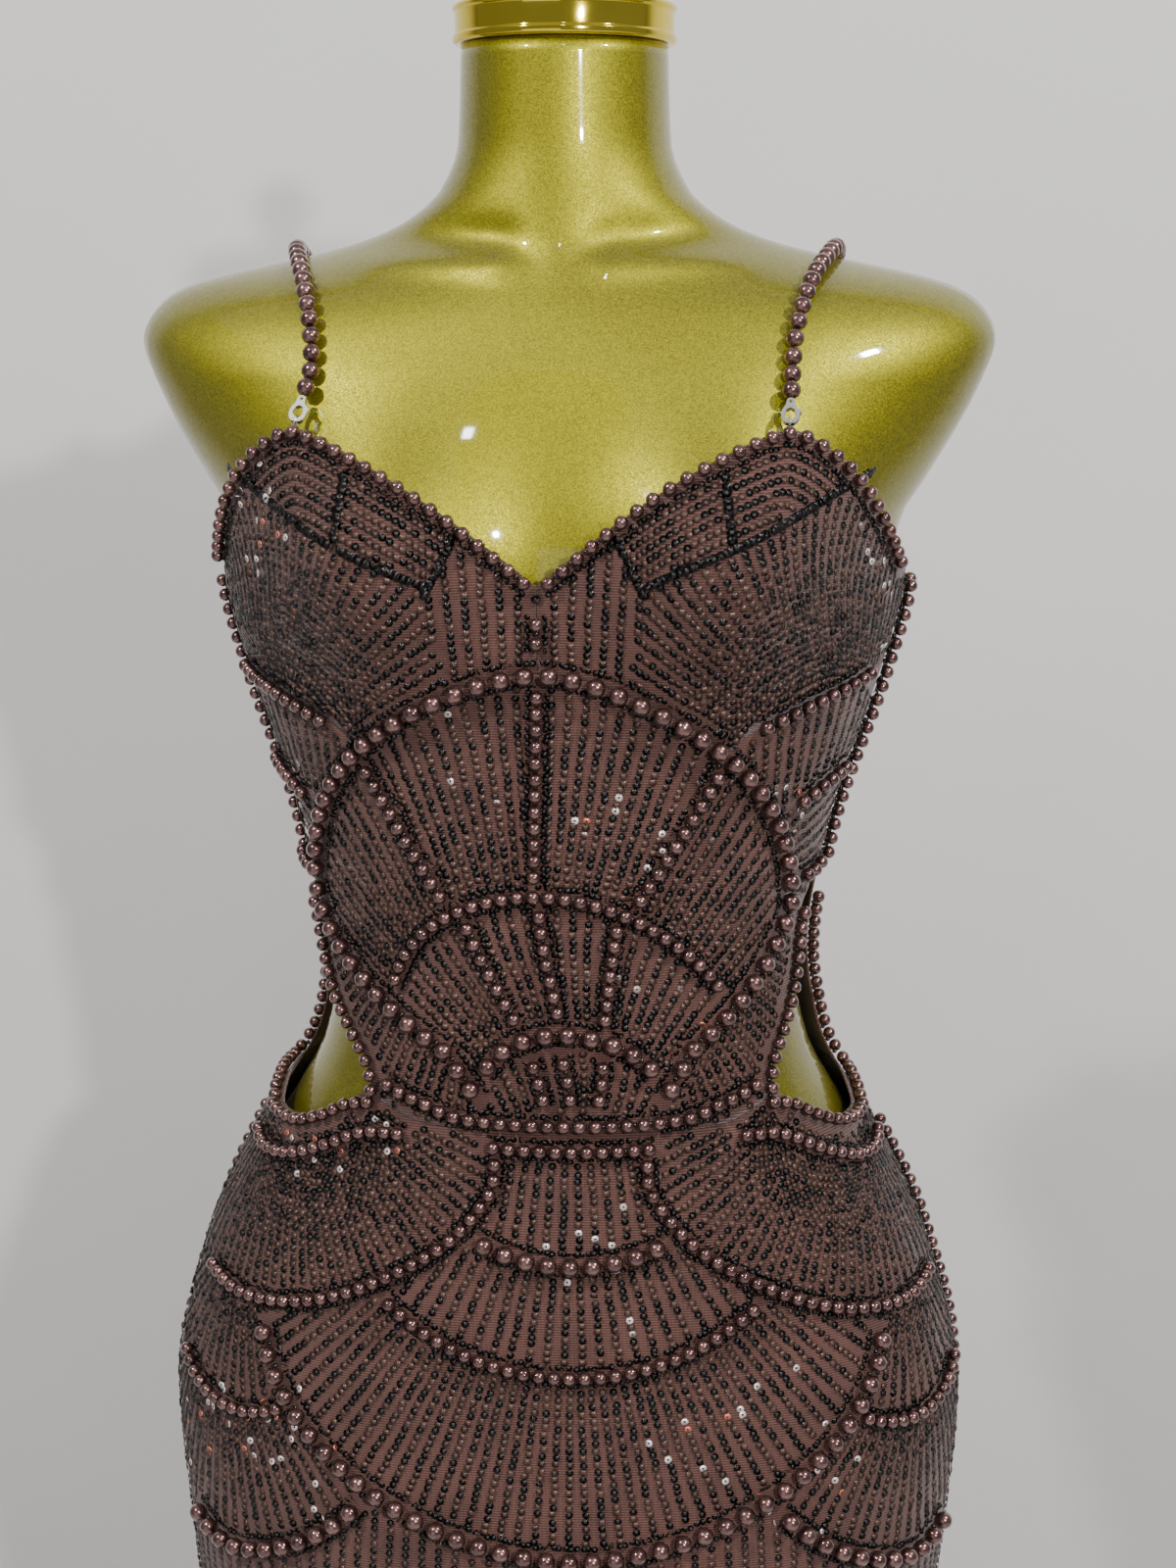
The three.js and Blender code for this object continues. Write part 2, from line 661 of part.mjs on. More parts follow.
// The point of a cup's top edge that carries the strap, and the way the strap leaves it
function strapAnchor(side) {
  const foot = gownPoint(angleOf(side * STRAP_GIRTH, STRAP_HEIGHT), STRAP_HEIGHT, -CLOTH / 2);
  const up = skinAlongRay(side * STRAP.front, STRAP.from).sub(foot).normalize();
  return { foot, up };
}

function insideForm(point) {
  const height = point.z;
  if (height > NECK_TOP) return false;
  const angle = THREE.MathUtils.radToDeg(Math.atan2(point.x, -point.y));
  const skin = formPoint(angle, height);
  return Math.hypot(point.x, point.y) < Math.hypot(skin.x, skin.y);
}

// The form's skin where a ray in the plane of x, leaning back by an angle from straight ahead, meets it
function skinAlongRay(x, lean) {
  const start = new THREE.Vector3(x, SHOULDER.depth, SHOULDER.height);
  const ray = new THREE.Vector3(0, -Math.cos(radians(lean)), Math.sin(radians(lean)));
  let near = 0;
  let far = SHOULDER.reach;
  for (let k = 0; k < 24; k += 1) {
    const middle = (near + far) / 2;
    if (insideForm(start.clone().addScaledVector(ray, middle))) near = middle;
    else far = middle;
  }
  return start.addScaledVector(ray, far + STRAP.lift);
}

function strapAcross(share) {
  const { front, shoulder, back, crest } = STRAP;
  if (share < crest) return mix(front, shoulder, THREE.MathUtils.smoothstep(share, 0, crest));
  return mix(shoulder, back, THREE.MathUtils.smoothstep(share, crest, 1));
}

function strapCurve(side) {
  const { foot, up } = strapAnchor(side);
  const points = [foot.clone().addScaledVector(up, STRAP_FOOT)];
  const steps = 22;
  for (let k = 0; k <= steps; k += 1) {
    const share = k / steps;
    points.push(skinAlongRay(side * strapAcross(share), mix(STRAP.from, STRAP.to, share)));
  }
  const curve = new THREE.CatmullRomCurve3(points);
  curve.arcLengthDivisions = CURVE_PARTS;
  return curve;
}

function strap(side) {
  const curve = strapCurve(side);
  const count = Math.round(curve.getLength() / LARGE_PEARL);
  const middle = new THREE.Vector3(side * STRAP.front, SHOULDER.depth, SHOULDER.height);
  const sections = [];
  for (let k = 0; k <= 2 * count; k += 1) {
    const t = curve.getUtoTmapping(k / (2 * count));
    const centre = curve.getPoint(t);
    sections.push({
      centre,
      tangent: curve.getTangent(t),
      normal: centre.clone().sub(middle).normalize(),
      radius: (LARGE_PEARL / 2) * (k % 2 === 0 ? THREAD_SHARE : 1),
    });
  }
  return strandGeometry(sections);
}

function clasp() {
  const { length, half, neck, thick, loop, loopTall, bar, eye, lever } = CLASP;
  const middle = bar + loopTall;
  const shape = new THREE.Shape();
  shape.moveTo(0, 0);
  shape.bezierCurveTo(half * 0.7, 0, half, middle * 0.4, half, middle);
  shape.lineTo(half + lever, middle + 1.6);
  shape.lineTo(half - 0.5, middle + 2.4);
  shape.bezierCurveTo(half - 0.9, middle + 3.2, neck, length - 4.5, neck, length - neck);
  shape.bezierCurveTo(neck, length - 0.5, neck / 2, length, 0, length);
  shape.bezierCurveTo(-neck / 2, length, -neck, length - 0.5, -neck, length - neck);
  shape.bezierCurveTo(-neck, length - 4.5, -half, middle + 3.2, -half, middle);
  shape.bezierCurveTo(-half, middle * 0.4, -half * 0.7, 0, 0, 0);
  const eyeHole = new THREE.Path();
  eyeHole.absarc(0, length - neck, eye, 0, Math.PI * 2, true);
  const mouth = new THREE.Path();
  mouth.absellipse(0, middle, loop, loopTall, 0, Math.PI * 2, true);
  shape.holes.push(eyeHole, mouth);
  const cut = { depth: thick, bevelEnabled: false, curveSegments: 4 };
  const geometry = new THREE.ExtrudeGeometry(shape, cut);
  geometry.translate(0, 0, -thick / 2);
  return geometry;
}

function tieRing() {
  const geometry = new THREE.TorusGeometry(TIE_RING.radius, TIE_RING.wire, 5, 14);
  geometry.rotateY(Math.PI / 2);
  return geometry;
}

// The form and its stand

function formTorso() {
  const heights = [];
  for (let k = 0; k < FORM_SECTIONS.length - 1; k += 1) {
    const low = FORM_SECTIONS[k].height;
    const high = FORM_SECTIONS[k + 1].height;
    const parts = high - low > 60 ? 3 : high - low > 30 ? 2 : 1;
    for (let part = 0; part < parts; part += 1) {
      heights.push(mix(low, high, part / parts));
    }
  }
  heights.push(NECK_TOP);
  const positions = [];
  for (const height of heights) {
    for (let k = 0; k < FORM_COLUMNS; k += 1) {
      positions.push(...formPoint((k / FORM_COLUMNS) * 360, height).toArray());
    }
  }
  const indices = [];
  for (let ring = 0; ring < heights.length - 1; ring += 1) {
    for (let k = 0; k < FORM_COLUMNS; k += 1) {
      const a = ring * FORM_COLUMNS + k;
      const b = ring * FORM_COLUMNS + ((k + 1) % FORM_COLUMNS);
      indices.push(a, b, b + FORM_COLUMNS, a, b + FORM_COLUMNS, a + FORM_COLUMNS);
    }
  }
  const bottom = positions.length / 3;
  positions.push(0, 0, FORM_BOTTOM, 0, 0, NECK_TOP);
  const topRing = (heights.length - 1) * FORM_COLUMNS;
  for (let k = 0; k < FORM_COLUMNS; k += 1) {
    const next = (k + 1) % FORM_COLUMNS;
    indices.push(bottom, next, k);
    indices.push(bottom + 1, topRing + k, topRing + next);
  }
  return closedGeometry(positions, indices);
}

// A turned piece from a profile of radius and height that starts and ends on the axis
function turned(profile, segments) {
  const points = profile.map(([radius, height]) => new THREE.Vector2(radius, height));
  const geometry = new THREE.LatheGeometry(points, segments);
  geometry.rotateX(Math.PI / 2);
  return geometry;
}

function neckCap() {
  const { radius, height, edge } = CAP;
  const low = NECK_TOP + SEAM_GAP;
  return turned(
    [
      [0, low],
      [radius - edge / 2, low],
      [radius, low + edge / 2],
      [radius, low + height - edge],
      [radius - edge, low + height],
      [0, low + height],
    ],
    32,
  );
}

function knob() {
  const low = NECK_TOP + SEAM_GAP + CAP.height + SEAM_GAP;
  const { foot, stem, ball, height } = KNOB;
  const centre = low + height - ball;
  const profile = [
    [0, low],
    [foot, low],
    [foot, low + 2.5],
    [stem, low + 4.5],
    [stem, centre - ball * 0.85],
  ];
  for (let k = -50; k <= 90; k += 20) {
    profile.push([k === 90 ? 0 : ball * Math.cos(radians(k)), centre + ball * Math.sin(radians(k))]);
  }
  return turned(profile, 16);
}

function pole() {
  const low = BASE.hubHeight + SEAM_GAP;
  const high = FORM_BOTTOM - COLLAR.height - 2 * SEAM_GAP;
  return turned([[0, low], [POLE_RADIUS, low], [POLE_RADIUS, high], [0, high]], 24);
}

function collar() {
  const high = FORM_BOTTOM - SEAM_GAP;
  const low = high - COLLAR.height;
  const flange = high - COLLAR.flange;
  const { radius, sleeve } = COLLAR;
  const profile = [
    [0, low],
    [sleeve, low],
    [sleeve, flange],
    [radius, flange],
    [radius, high],
    [0, high],
  ];
  return turned(profile, 28);
}

function base() {
  const { radius, thick, edge, hub, socket, hubHeight } = BASE;
  const profile = [
    [0, 0],
    [radius, 0],
    [radius, thick - edge],
    [radius - edge, thick],
    [hub, thick + edge],
    [socket, thick + 2 * edge],
    [socket, hubHeight],
    [0, hubHeight],
  ];
  return turned(profile, 40);
}

// Materials

const finish = (color, roughness, metalness) => () =>
  new THREE.MeshStandardMaterial({ color, roughness, metalness });
const cupNet = finish('#604039', 0.85, 0);
const midriffNet = finish('#5b3b36', 0.85, 0);
const skirtNet = finish('#583833', 0.85, 0);
const backNet = finish('#523530', 0.85, 0);
const pearlFinish = finish('#6e4c49', 0.28, 0.1);
const goldFlake = finish('#a8892f', 0.35, 0.8);
const goldPlate = finish('#d9b443', 0.08, 1);
const silverPlate = finish('#c9cac8', 0.2, 1);
const steel = finish('#b9b6ae', 0.25, 1);

const gown = new THREE.Group();

function add(name, geometry, material, parent = gown) {
  const mesh = new THREE.Mesh(geometry, material);
  mesh.name = name;
  parent.add(mesh);
  return mesh;
}

const SIDES = [
  { word: 'left', side: 1 },
  { word: 'right', side: -1 },
];

for (const { word, side } of SIDES) {
  add(`cup_${word}`, cup(side), cupNet());
}
add('midriff_front', midriffFront(), midriffNet());
add('bodice_back', bodiceBack(), backNet());
add('skirt_front', skirtFront(), skirtNet());
add('skirt_back', skirtBack(), backNet());

const placesOf = (path, side = 1) =>
  path.map(([girth, height]) => ({ angle: angleOf(side * girth, height), height }));

for (const { word, side } of SIDES) {
  for (const { name, kind, path } of PAIRED_ROWS) {
    add(`pearls_${name}_${word}`, pearlRow(placesOf(path, side), kind), pearlFinish());
  }
  const loop = pearlRow(cutoutRow(side), SMALL_ROW, CUTOUT_ROW_STEP);
  add(`pearls_cutout_${word}`, loop, pearlFinish());
  const sideSeam = seamRow(side, BODICE_SIDE, 1265, 1139);
  add(`pearls_side_seam_${word}`, pearlRow(sideSeam, SMALL_ROW), pearlFinish());
  const hipSeam = seamRow(side, SKIRT_SIDE, 1010, 846);
  add(`pearls_hip_seam_${word}`, pearlRow(hipSeam, SMALL_ROW), pearlFinish());
}
for (const { name, kind, path } of CENTRE_ROWS) {
  add(`pearls_${name}`, pearlRow(placesOf(path), kind), pearlFinish());
}
add('pearls_oval', pearlRow(placesOf(ovalRow()), LARGE_ROW), pearlFinish());
add('pearls_back_edge', pearlRow(backEdgeRow(), SMALL_ROW), pearlFinish());

for (const { word, side } of SIDES) {
  add(`strap_${word}`, strap(side), pearlFinish());
  const { foot, up } = strapAnchor(side);
  const hook = new THREE.Group();
  hook.position.copy(foot);
  hook.quaternion.setFromUnitVectors(new THREE.Vector3(0, 1, 0), up);
  gown.add(hook);
  add(`clasp_${word}`, clasp(), silverPlate(), hook).position.y = CLASP_FOOT;
  add(`clasp_ring_${word}`, tieRing(), silverPlate(), hook).position.y = RING_HEIGHT;
}

add('form_torso', formTorso(), goldFlake());
add('form_neck_cap', neckCap(), goldPlate());
add('form_knob', knob(), goldPlate());
add('form_collar', collar(), steel());
add('form_pole', pole(), steel());
add('form_base', base(), steel());

export default gown;
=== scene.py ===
# %% [markdown]
# # A beaded evening gown on its dress form
# The gown is a shell of fine net, drawn over a limbless form and covered with lines of flat sequins.
# Rows of pearls close every fan of sequins, and two strands of pearls carry the gown.
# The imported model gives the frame: its rigid stand stays, and finer pieces stand for its cloth and pearls.

# %% Load the frame
import math
from collections import namedtuple

import bpy
import numpy as np
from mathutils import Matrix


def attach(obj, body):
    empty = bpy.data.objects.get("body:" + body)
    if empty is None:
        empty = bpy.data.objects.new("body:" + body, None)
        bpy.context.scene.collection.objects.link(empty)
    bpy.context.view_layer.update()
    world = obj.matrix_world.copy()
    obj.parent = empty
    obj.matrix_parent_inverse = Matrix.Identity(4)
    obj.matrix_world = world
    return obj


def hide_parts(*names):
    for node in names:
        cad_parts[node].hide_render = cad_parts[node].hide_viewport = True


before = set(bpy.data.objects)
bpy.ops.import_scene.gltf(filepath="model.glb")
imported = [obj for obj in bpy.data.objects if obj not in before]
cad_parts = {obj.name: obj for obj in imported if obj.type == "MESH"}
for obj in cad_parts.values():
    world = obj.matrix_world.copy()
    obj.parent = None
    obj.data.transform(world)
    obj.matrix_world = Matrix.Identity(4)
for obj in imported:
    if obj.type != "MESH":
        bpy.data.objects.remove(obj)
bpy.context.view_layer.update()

# %% [markdown]
# ## The gown's measures
# A dressmaker fits a gown from a few girths and depths taken at marked heights.
# Here each row holds a height, the half width, the depth to the front and to the back, and how square
# the section is. All measures of the pattern are in millimetres, and become metres in the mesh.

# %% Sections of the gown and of the form
MM = 0.001
GOWN = np.array([
    [22, 285, 262, 290, 2.0], [150, 236, 208, 232, 2.0], [300, 190, 158, 176, 2.0],
    [480, 157, 122, 130, 2.1], [640, 160, 118, 126, 2.2], [790, 174, 118, 130, 2.2],
    [890, 182, 111, 124, 2.2], [960, 166, 104, 112, 2.2], [1012, 142, 98, 94, 2.2],
    [1055, 118, 95, 82, 2.2], [1101, 110, 94, 79, 2.2], [1150, 117, 94, 81, 2.2],
    [1228, 141, 96, 90, 2.2], [1260, 149, 97, 95, 2.2], [1290, 152, 97, 98, 2.4],
    [1350, 164, 90, 98, 2.7],
])
FORM = np.array([
    [745, 162, 100, 116, 2.2], [790, 166, 102, 120, 2.2], [890, 176, 104, 118, 2.2],
    [960, 159, 94, 106, 2.2], [1012, 134, 85, 88, 2.2], [1055, 110, 79, 76, 2.2],
    [1101, 102, 79, 72, 2.2], [1150, 111, 82, 75, 2.2], [1228, 136, 87, 84, 2.2],
    [1275, 144, 88, 90, 2.2], [1290, 147, 87, 91, 2.2], [1305, 156, 85, 91, 2.2],
    [1330, 171, 81, 89, 2.2], [1350, 181, 76, 85, 2.2], [1369, 187, 69, 78, 2.0],
    [1382, 180, 63, 72, 1.75], [1391, 168, 58, 67, 1.5], [1398, 136, 55, 63, 1.35],
    [1404, 104, 52, 60, 1.4], [1413, 76, 50, 56, 1.7], [1430, 54, 47, 50, 2.0],
    [1450, 46, 45, 46, 2.0], [1490, 44.5, 44.5, 44.5, 2.0],
])
CUTOUT = np.array([
    [1050, 92, 98], [1060, 95, 98], [1072, 104, 97], [1084, 114, 96],
    [1100, 124, 93], [1122, 132, 89], [1136, 150, 86],
])
SKIRT_TOP = np.array([
    [0, 1037], [60, 1037], [84, 1043], [92, 1047], [100, 1044], [112, 1037],
    [135, 1029], [155, 1028], [170, 1034], [178, 1037],
])
HEM, WAIST, V_POINT, STRAP_TOP, ARMHOLE, BACK_TOP = 22, 1037, 1269, 1332, 1272, 1236
STRAP_GIRTH, ARMHOLE_GIRTH, NOTCH_GIRTH, UNDERBUST_GIRTH, UNDERBUST_RISE = 103, 197, 80, 172, 33
BODICE_SIDE, SKIRT_SIDE = 86, 98
CUTOUT_TOP, CUTOUT_TIP = 1136, 12
KNEE, FLUTES, FLUTE_DEPTH = 470, 14, 9
BUST = {"apart": 78, "height": 1276, "out": 34, "wide": 48, "tall": 50}
OVAL = {"height": 1128, "wide": 115, "up": 105, "down": 80, "round_top": 1.75, "round_bottom": 1.3}
SEAM_GAP = 0.3
print(len(GOWN), "gown sections,", len(FORM), "form sections")


# %% [markdown]
# ## Reading a table by a curve
# Straight lines between the marked heights would leave creases round the body.
# A cubic through the marks is smooth, but may swell past them. The monotone cubic keeps between them,
# so a waist stays the narrowest place.

# %% Monotone curve through a table
def read_table(table, column, at):
    """Hermite cubic between rows; each row's slope is the weighted harmonic mean of its neighbours'."""
    x, y = table[:, 0], table[:, column]
    width = np.diff(x)
    rise = np.diff(y) / width
    slope = np.concatenate([rise[:1], np.zeros(len(x) - 2), rise[-1:]])
    before, after = 2 * width[1:] + width[:-1], width[1:] + 2 * width[:-1]
    same = rise[:-1] * rise[1:] > 0
    low, high = np.where(same, rise[:-1], 1), np.where(same, rise[1:], 1)
    slope[1:-1] = np.where(same, (before + after) / (before / low + after / high), 0)
    at = np.clip(at, x[0], x[-1])
    row = np.clip(np.searchsorted(x, at, side="right") - 1, 0, len(width) - 1)
    w = width[row]
    t = (at - x[row]) / w
    start = (1 + 2 * t) * (1 - t) ** 2 * y[row] + t * (1 - t) ** 2 * w * slope[row]
    return start + t * t * (3 - 2 * t) * y[row + 1] + t * t * (t - 1) * w * slope[row + 1]


def ease(value, low, high):
    """Smooth step: 3t² - 2t³, where t goes from 0 at low to 1 at high."""
    t = np.clip((value - low) / (high - low), 0, 1)
    return t * t * (3 - 2 * t)


print("waist half width:", round(float(read_table(GOWN, 1, 1101.0)), 1), "mm")


# %% [markdown]
# ## The body as a surface
# A section is a rounded box, the superellipse, whose radius is known at every angle from the centre
# front. The bust is two soft mounds that push the front forward, and below the knee the skirt opens
# in flutes, as a wave whose depth grows towards the hem.

# %% Points and normals of the body
def bust_out(x, height, cosine):
    """Two bell curves, e to the minus distance squared, 78 mm to either side of the centre."""
    mounds = 0
    for side in (-1, 1):
        across = (x - side * BUST["apart"]) / BUST["wide"]
        up = (height - BUST["height"]) / BUST["tall"]
        mounds = mounds + np.exp(-across**2 - up**2)
    return BUST["out"] * np.clip(3 * cosine, 0, 1) * mounds


def body_point(table, angle, height, swell=0.0):
    """Radius = (|sin/half|^n + |cos/depth|^n)^(-1/n), plus the swell; the front faces -Y."""
    half, front, back, square = (read_table(table, column, height) for column in (1, 2, 3, 4))
    sine, cosine = np.sin(np.radians(angle)), np.cos(np.radians(angle))
    depth = np.where(cosine > 0, front, back)
    share = np.abs(sine / half) ** square + np.abs(cosine / depth) ** square
    reach = share ** (-1 / square) + swell
    x = reach * sine
    return np.stack([x, -reach * cosine - bust_out(x, height, cosine), height + 0 * x], axis=-1)


def gown_point(angle, height, out=0.0):
    """The gown's outer face, with its flutes, moved out along the normal."""
    angle, height = np.asarray(angle, float), np.asarray(height, float)
    point = fluted(angle, height)
    return point + np.asarray(out)[..., None] * gown_normal(angle, height)


def fluted(angle, height):
    """Swell = 9 mm × (share of the way from knee to hem)^1.5 × cos(14 × angle)."""
    down = np.clip((KNEE - height) / (KNEE - HEM), 0, 1)
    return body_point(GOWN, angle, height, FLUTE_DEPTH * down**1.5 * np.cos(FLUTES * np.radians(angle)))


def gown_normal(angle, height):
    """The cross product of a short step round the body and a short step up it."""
    round_step = fluted(angle + 0.5, height) - fluted(angle - 0.5, height)
    up_step = fluted(angle, height + 1) - fluted(angle, height - 1)
    return unit(np.cross(round_step, up_step))


def unit(vectors):
    """A vector divided by its length."""
    return vectors / np.linalg.norm(vectors, axis=-1, keepdims=True)


print("centre front at the waist:", np.round(gown_point(0.0, 1101.0), 1), "mm")


# %% [markdown]
# ## The pattern's own coordinates
# A dressmaker places beading by two measures: how far round the cloth from the centre front, and how
# high. The girth is measured by walking round the section in 2 degree steps and adding up the strides.

# %% From girth to angle and back
def drift(height):
    """The pattern's centre line lies at -3 mm down to the oval's middle and at +10.5 mm from the waist."""
    return -3 + 13.5 * ease(1140 - np.asarray(height, float), 0, 1140 - 1048)


def angle_at(girth, height):
    """The angle where the walk round the section has covered the girth."""
    girth, height = np.broadcast_arrays(np.asarray(girth, float), np.asarray(height, float))
    walk = girth + drift(height)
    sign = np.where(walk < 0, -1.0, 1.0)
    steps = np.arange(0, 180, 2.0)
    path = body_point(GOWN, sign[..., None] * steps, height[..., None])
    stride = np.linalg.norm(np.diff(path, axis=-2), axis=-1)
    covered = np.concatenate([np.zeros(stride.shape[:-1] + (1,)), np.cumsum(stride, axis=-1)], axis=-1)
    last = np.clip((covered <= np.abs(walk)[..., None]).sum(-1) - 1, 0, len(steps) - 2)
    here = np.take_along_axis(covered, last[..., None], -1)[..., 0]
    step = np.take_along_axis(stride, last[..., None], -1)[..., 0]
    return sign * 2 * (last + (np.abs(walk) - here) / step)


def girth_at(angle, height):
    """The length of the section from the pattern's centre to the angle, in 44 chords."""
    angle, height = np.broadcast_arrays(np.asarray(angle, float), np.asarray(height, float))
    path = body_point(GOWN, angle[..., None] * np.linspace(0, 1, 45), height[..., None])
    length = np.linalg.norm(np.diff(path, axis=-2), axis=-1).sum(-1)
    return np.sign(angle) * length - drift(height)


print("angle of the strap:", round(float(angle_at(STRAP_GIRTH, STRAP_TOP)), 1), "degrees")


# %% [markdown]
# ## The edges of the panels
# Every edge of the gown is a height that depends on the girth: the sweetheart neckline, the oval on
# the midriff, the seam under the bust, the waist seam and the side cut-outs.

# %% Edge curves
def cup_top(girth):
    """Rises from the V to the strap by a power curve, then falls to the armhole by another."""
    away = np.abs(girth)
    rise = V_POINT + (STRAP_TOP - V_POINT) * (1 - np.clip(1 - away / STRAP_GIRTH, 0, 1) ** 1.35)
    fall = np.clip((away - STRAP_GIRTH) / (ARMHOLE_GIRTH - STRAP_GIRTH), 0, 1) ** 1.3
    return np.where(away < STRAP_GIRTH, rise, STRAP_TOP + (ARMHOLE - STRAP_TOP) * fall)


def oval_top(girth):
    """Height + up × (1 - share^n)^(1/n), the upper half of a superellipse."""
    n = OVAL["round_top"]
    share = np.clip(np.abs(girth) / OVAL["wide"], 0, 1)
    return OVAL["height"] + OVAL["up"] * (1 - share**n) ** (1 / n)


def oval_bottom(girth):
    """Height - down × (1 - share^n)^(1/n), more pointed than the top."""
    n = OVAL["round_bottom"]
    share = np.clip(np.abs(girth) / OVAL["wide"], 0, 1)
    return OVAL["height"] - OVAL["down"] * (1 - share**n) ** (1 / n)


def underbust(girth):
    """Along the oval to a notch, then up to the side by a square root."""
    away = np.abs(girth)
    share = np.clip((away - NOTCH_GIRTH) / (UNDERBUST_GIRTH - NOTCH_GIRTH), 0, None)
    return np.where(away < NOTCH_GIRTH, oval_top(girth), oval_top(NOTCH_GIRTH) + UNDERBUST_RISE * np.sqrt(share))


def skirt_top(girth):
    """The waist seam in the middle, and below the cut-outs their lower edge."""
    return read_table(SKIRT_TOP, 1, np.abs(girth))


def front_edge(side, height):
    """The side seam's girth, and below the cut-out's tip the cut-out's front edge."""
    seam = np.abs(girth_at(side * BODICE_SIDE + 0 * height, height))
    edge = np.minimum(read_table(CUTOUT, 1, height), seam)
    return side * np.where(height >= CUTOUT_TOP, seam, edge)


def back_edge_angle(height):
    """The back's side edge, as an angle from the centre front."""
    return read_table(CUTOUT, 2, height)


def back_top(angle):
    """Falls from the armhole to the centre back by a sine to the power 0.8."""
    share = np.clip((np.abs(angle) - BODICE_SIDE) / (180 - BODICE_SIDE), 0, 1)
    return ARMHOLE + (BACK_TOP - ARMHOLE) * np.sin(share * np.pi / 2) ** 0.8


print("cup height at the strap:", round(float(cup_top(103) - underbust(103))), "mm")


# %% [markdown]
# ## Shader maths as Python
# A material in Blender is a board of nodes joined by wires. Wired by hand, a formula takes a dozen
# lines. Here one small class wraps a socket, so `1 - mask * 2` adds the Math nodes by itself.

# %% A class for sockets and one for boards
class Value:
    """One output socket; each operator adds a Math node and returns its output."""

    def __init__(self, board, socket):
        self.board, self.socket = board, socket

    def maths(self, operation, *inputs):
        return self.board.node("ShaderNodeMath", {"operation": operation}, *inputs)

    def __add__(self, other):
        return self.maths("ADD", self, other)

    def __sub__(self, other):
        return self.maths("SUBTRACT", self, other)

    def __rsub__(self, other):
        return self.maths("SUBTRACT", other, self)

    def __mul__(self, other):
        return self.maths("MULTIPLY", self, other)

    def __lt__(self, other):
        return self.maths("LESS_THAN", self, other)

    def __gt__(self, other):
        return self.maths("GREATER_THAN", self, other)

    __radd__ = __add__
    __rmul__ = __mul__

    def sine(self):
        return self.maths("SINE", self)

    def between(self, low, high):
        """0 below low, 1 above high, and a smooth step from one to the other."""
        settings = {"interpolation_type": "SMOOTHSTEP"}
        return self.board.node("ShaderNodeMapRange", settings, self, low, high, 0.0, 1.0)


class Board:
    """A material's nodes, with one method that adds any node."""

    def __init__(self, name):
        self.material = bpy.data.materials.new(name)
        self.material.use_nodes = True
        self.tree = self.material.node_tree
        self.surface = self.tree.nodes["Principled BSDF"]

    def node(self, kind, settings=None, *inputs, output=0, **named):
        """Adds a node, sets it, then joins or sets its sockets in order or by name."""
        made = self.tree.nodes.new(kind)
        for key, value in (settings or {}).items():
            setattr(made, key, value)
        for key, value in [*enumerate(inputs), *named.items()]:
            self.put(made.inputs[key.replace("_", " ") if isinstance(key, str) else key], value)
        return Value(self, made.outputs[output])

    def put(self, socket, value):
        """Wires a Value, or sets a plain number, colour or vector."""
        if isinstance(value, Value):
            self.tree.links.new(value.socket, socket)
        else:
            socket.default_value = value

    def mix(self, share, first, second):
        """A colour that goes from the first to the second as the share goes from 0 to 1."""
        made = self.tree.nodes.new("ShaderNodeMix")
        made.data_type = "RGBA"
        for name, value in (("Factor_Float", share), ("A_Color", first), ("B_Color", second)):
            socket = next(s for s in made.inputs if s.identifier == name)
            self.put(socket, value)
        return Value(self, next(s for s in made.outputs if s.identifier == "Result_Color"))

    def split(self, vector):
        """The X, Y and Z of a vector as three Values."""
        made = self.tree.nodes.new("ShaderNodeSeparateXYZ")
        self.put(made.inputs[0], vector)
        return [Value(self, output) for output in made.outputs]

    def place(self, output="Object"):
        """Where the shaded point is: Object coordinates in metres, or the UV of the cut."""
        made = self.tree.nodes.new("ShaderNodeTexCoord")
        return Value(self, made.outputs[output])

    def noise(self, place, scale, detail=2.0, roughness=0.5):
        return self.node("ShaderNodeTexNoise", None, Vector=place, Scale=scale, Detail=detail, Roughness=roughness)

    def bump(self, height, strength, distance):
        return self.node("ShaderNodeBump", None, Height=height, Strength=strength, Distance=distance)

    def finish(self, **sockets):
        """Sets or wires the shader's own sockets, named with _ for a space."""
        for name, value in sockets.items():
            self.put(self.surface.inputs[name.replace("_", " ")], value)
        return self.material


def colour(red, green, blue):
    """An sRGB colour of 0 to 255 as the linear light that a shader wants."""
    values = np.array([red, green, blue]) / 255
    linear = np.where(values <= 0.04045, values / 12.92, ((values + 0.055) / 1.055) ** 2.4)
    return (*linear.tolist(), 1.0)


print("mauve pearl in linear light:", [round(v, 3) for v in colour(105, 75, 72)])


# %% [markdown]
# ## Net, sequins and seed beads
# The ground is a fine knitted net over a lining. Two crossed waves along the cut's own UV draw the
# threads, and a noise makes the dye a little uneven. The same waves raise the threads through a bump.
# A sequin is a thin shiny disc: it carries two attributes, how far a point is from its middle and a
# random tone for the whole disc, so that one material can give thousands of discs each its own shade.

# %% Cloth and sequin materials
THREAD_PITCH = 0.0011
SEQUIN_HOLE = 0.36


def net_material(name, dark, light):
    board = Board(name)
    across, up, _ = board.split(board.place("UV"))
    wave = 2 * math.pi / THREAD_PITCH
    warp = (across * wave + up * (wave * 0.5)).sine()
    weft = (across * wave - up * (wave * 0.5)).sine()
    threads = (warp * weft).between(-0.6, 0.7)
    dye = board.noise(board.place(), 38.0, 3.0)
    share = (threads * 0.62 + dye * 0.5).between(0.1, 1.0)
    return board.finish(
        Base_Color=board.mix(share, dark, light),
        Roughness=0.86 - 0.22 * threads,
        Normal=board.bump(threads, 0.55, 0.0004),
        Specular_IOR_Level=0.25,
        Sheen_Weight=0.25,
        Sheen_Roughness=0.4,
    )


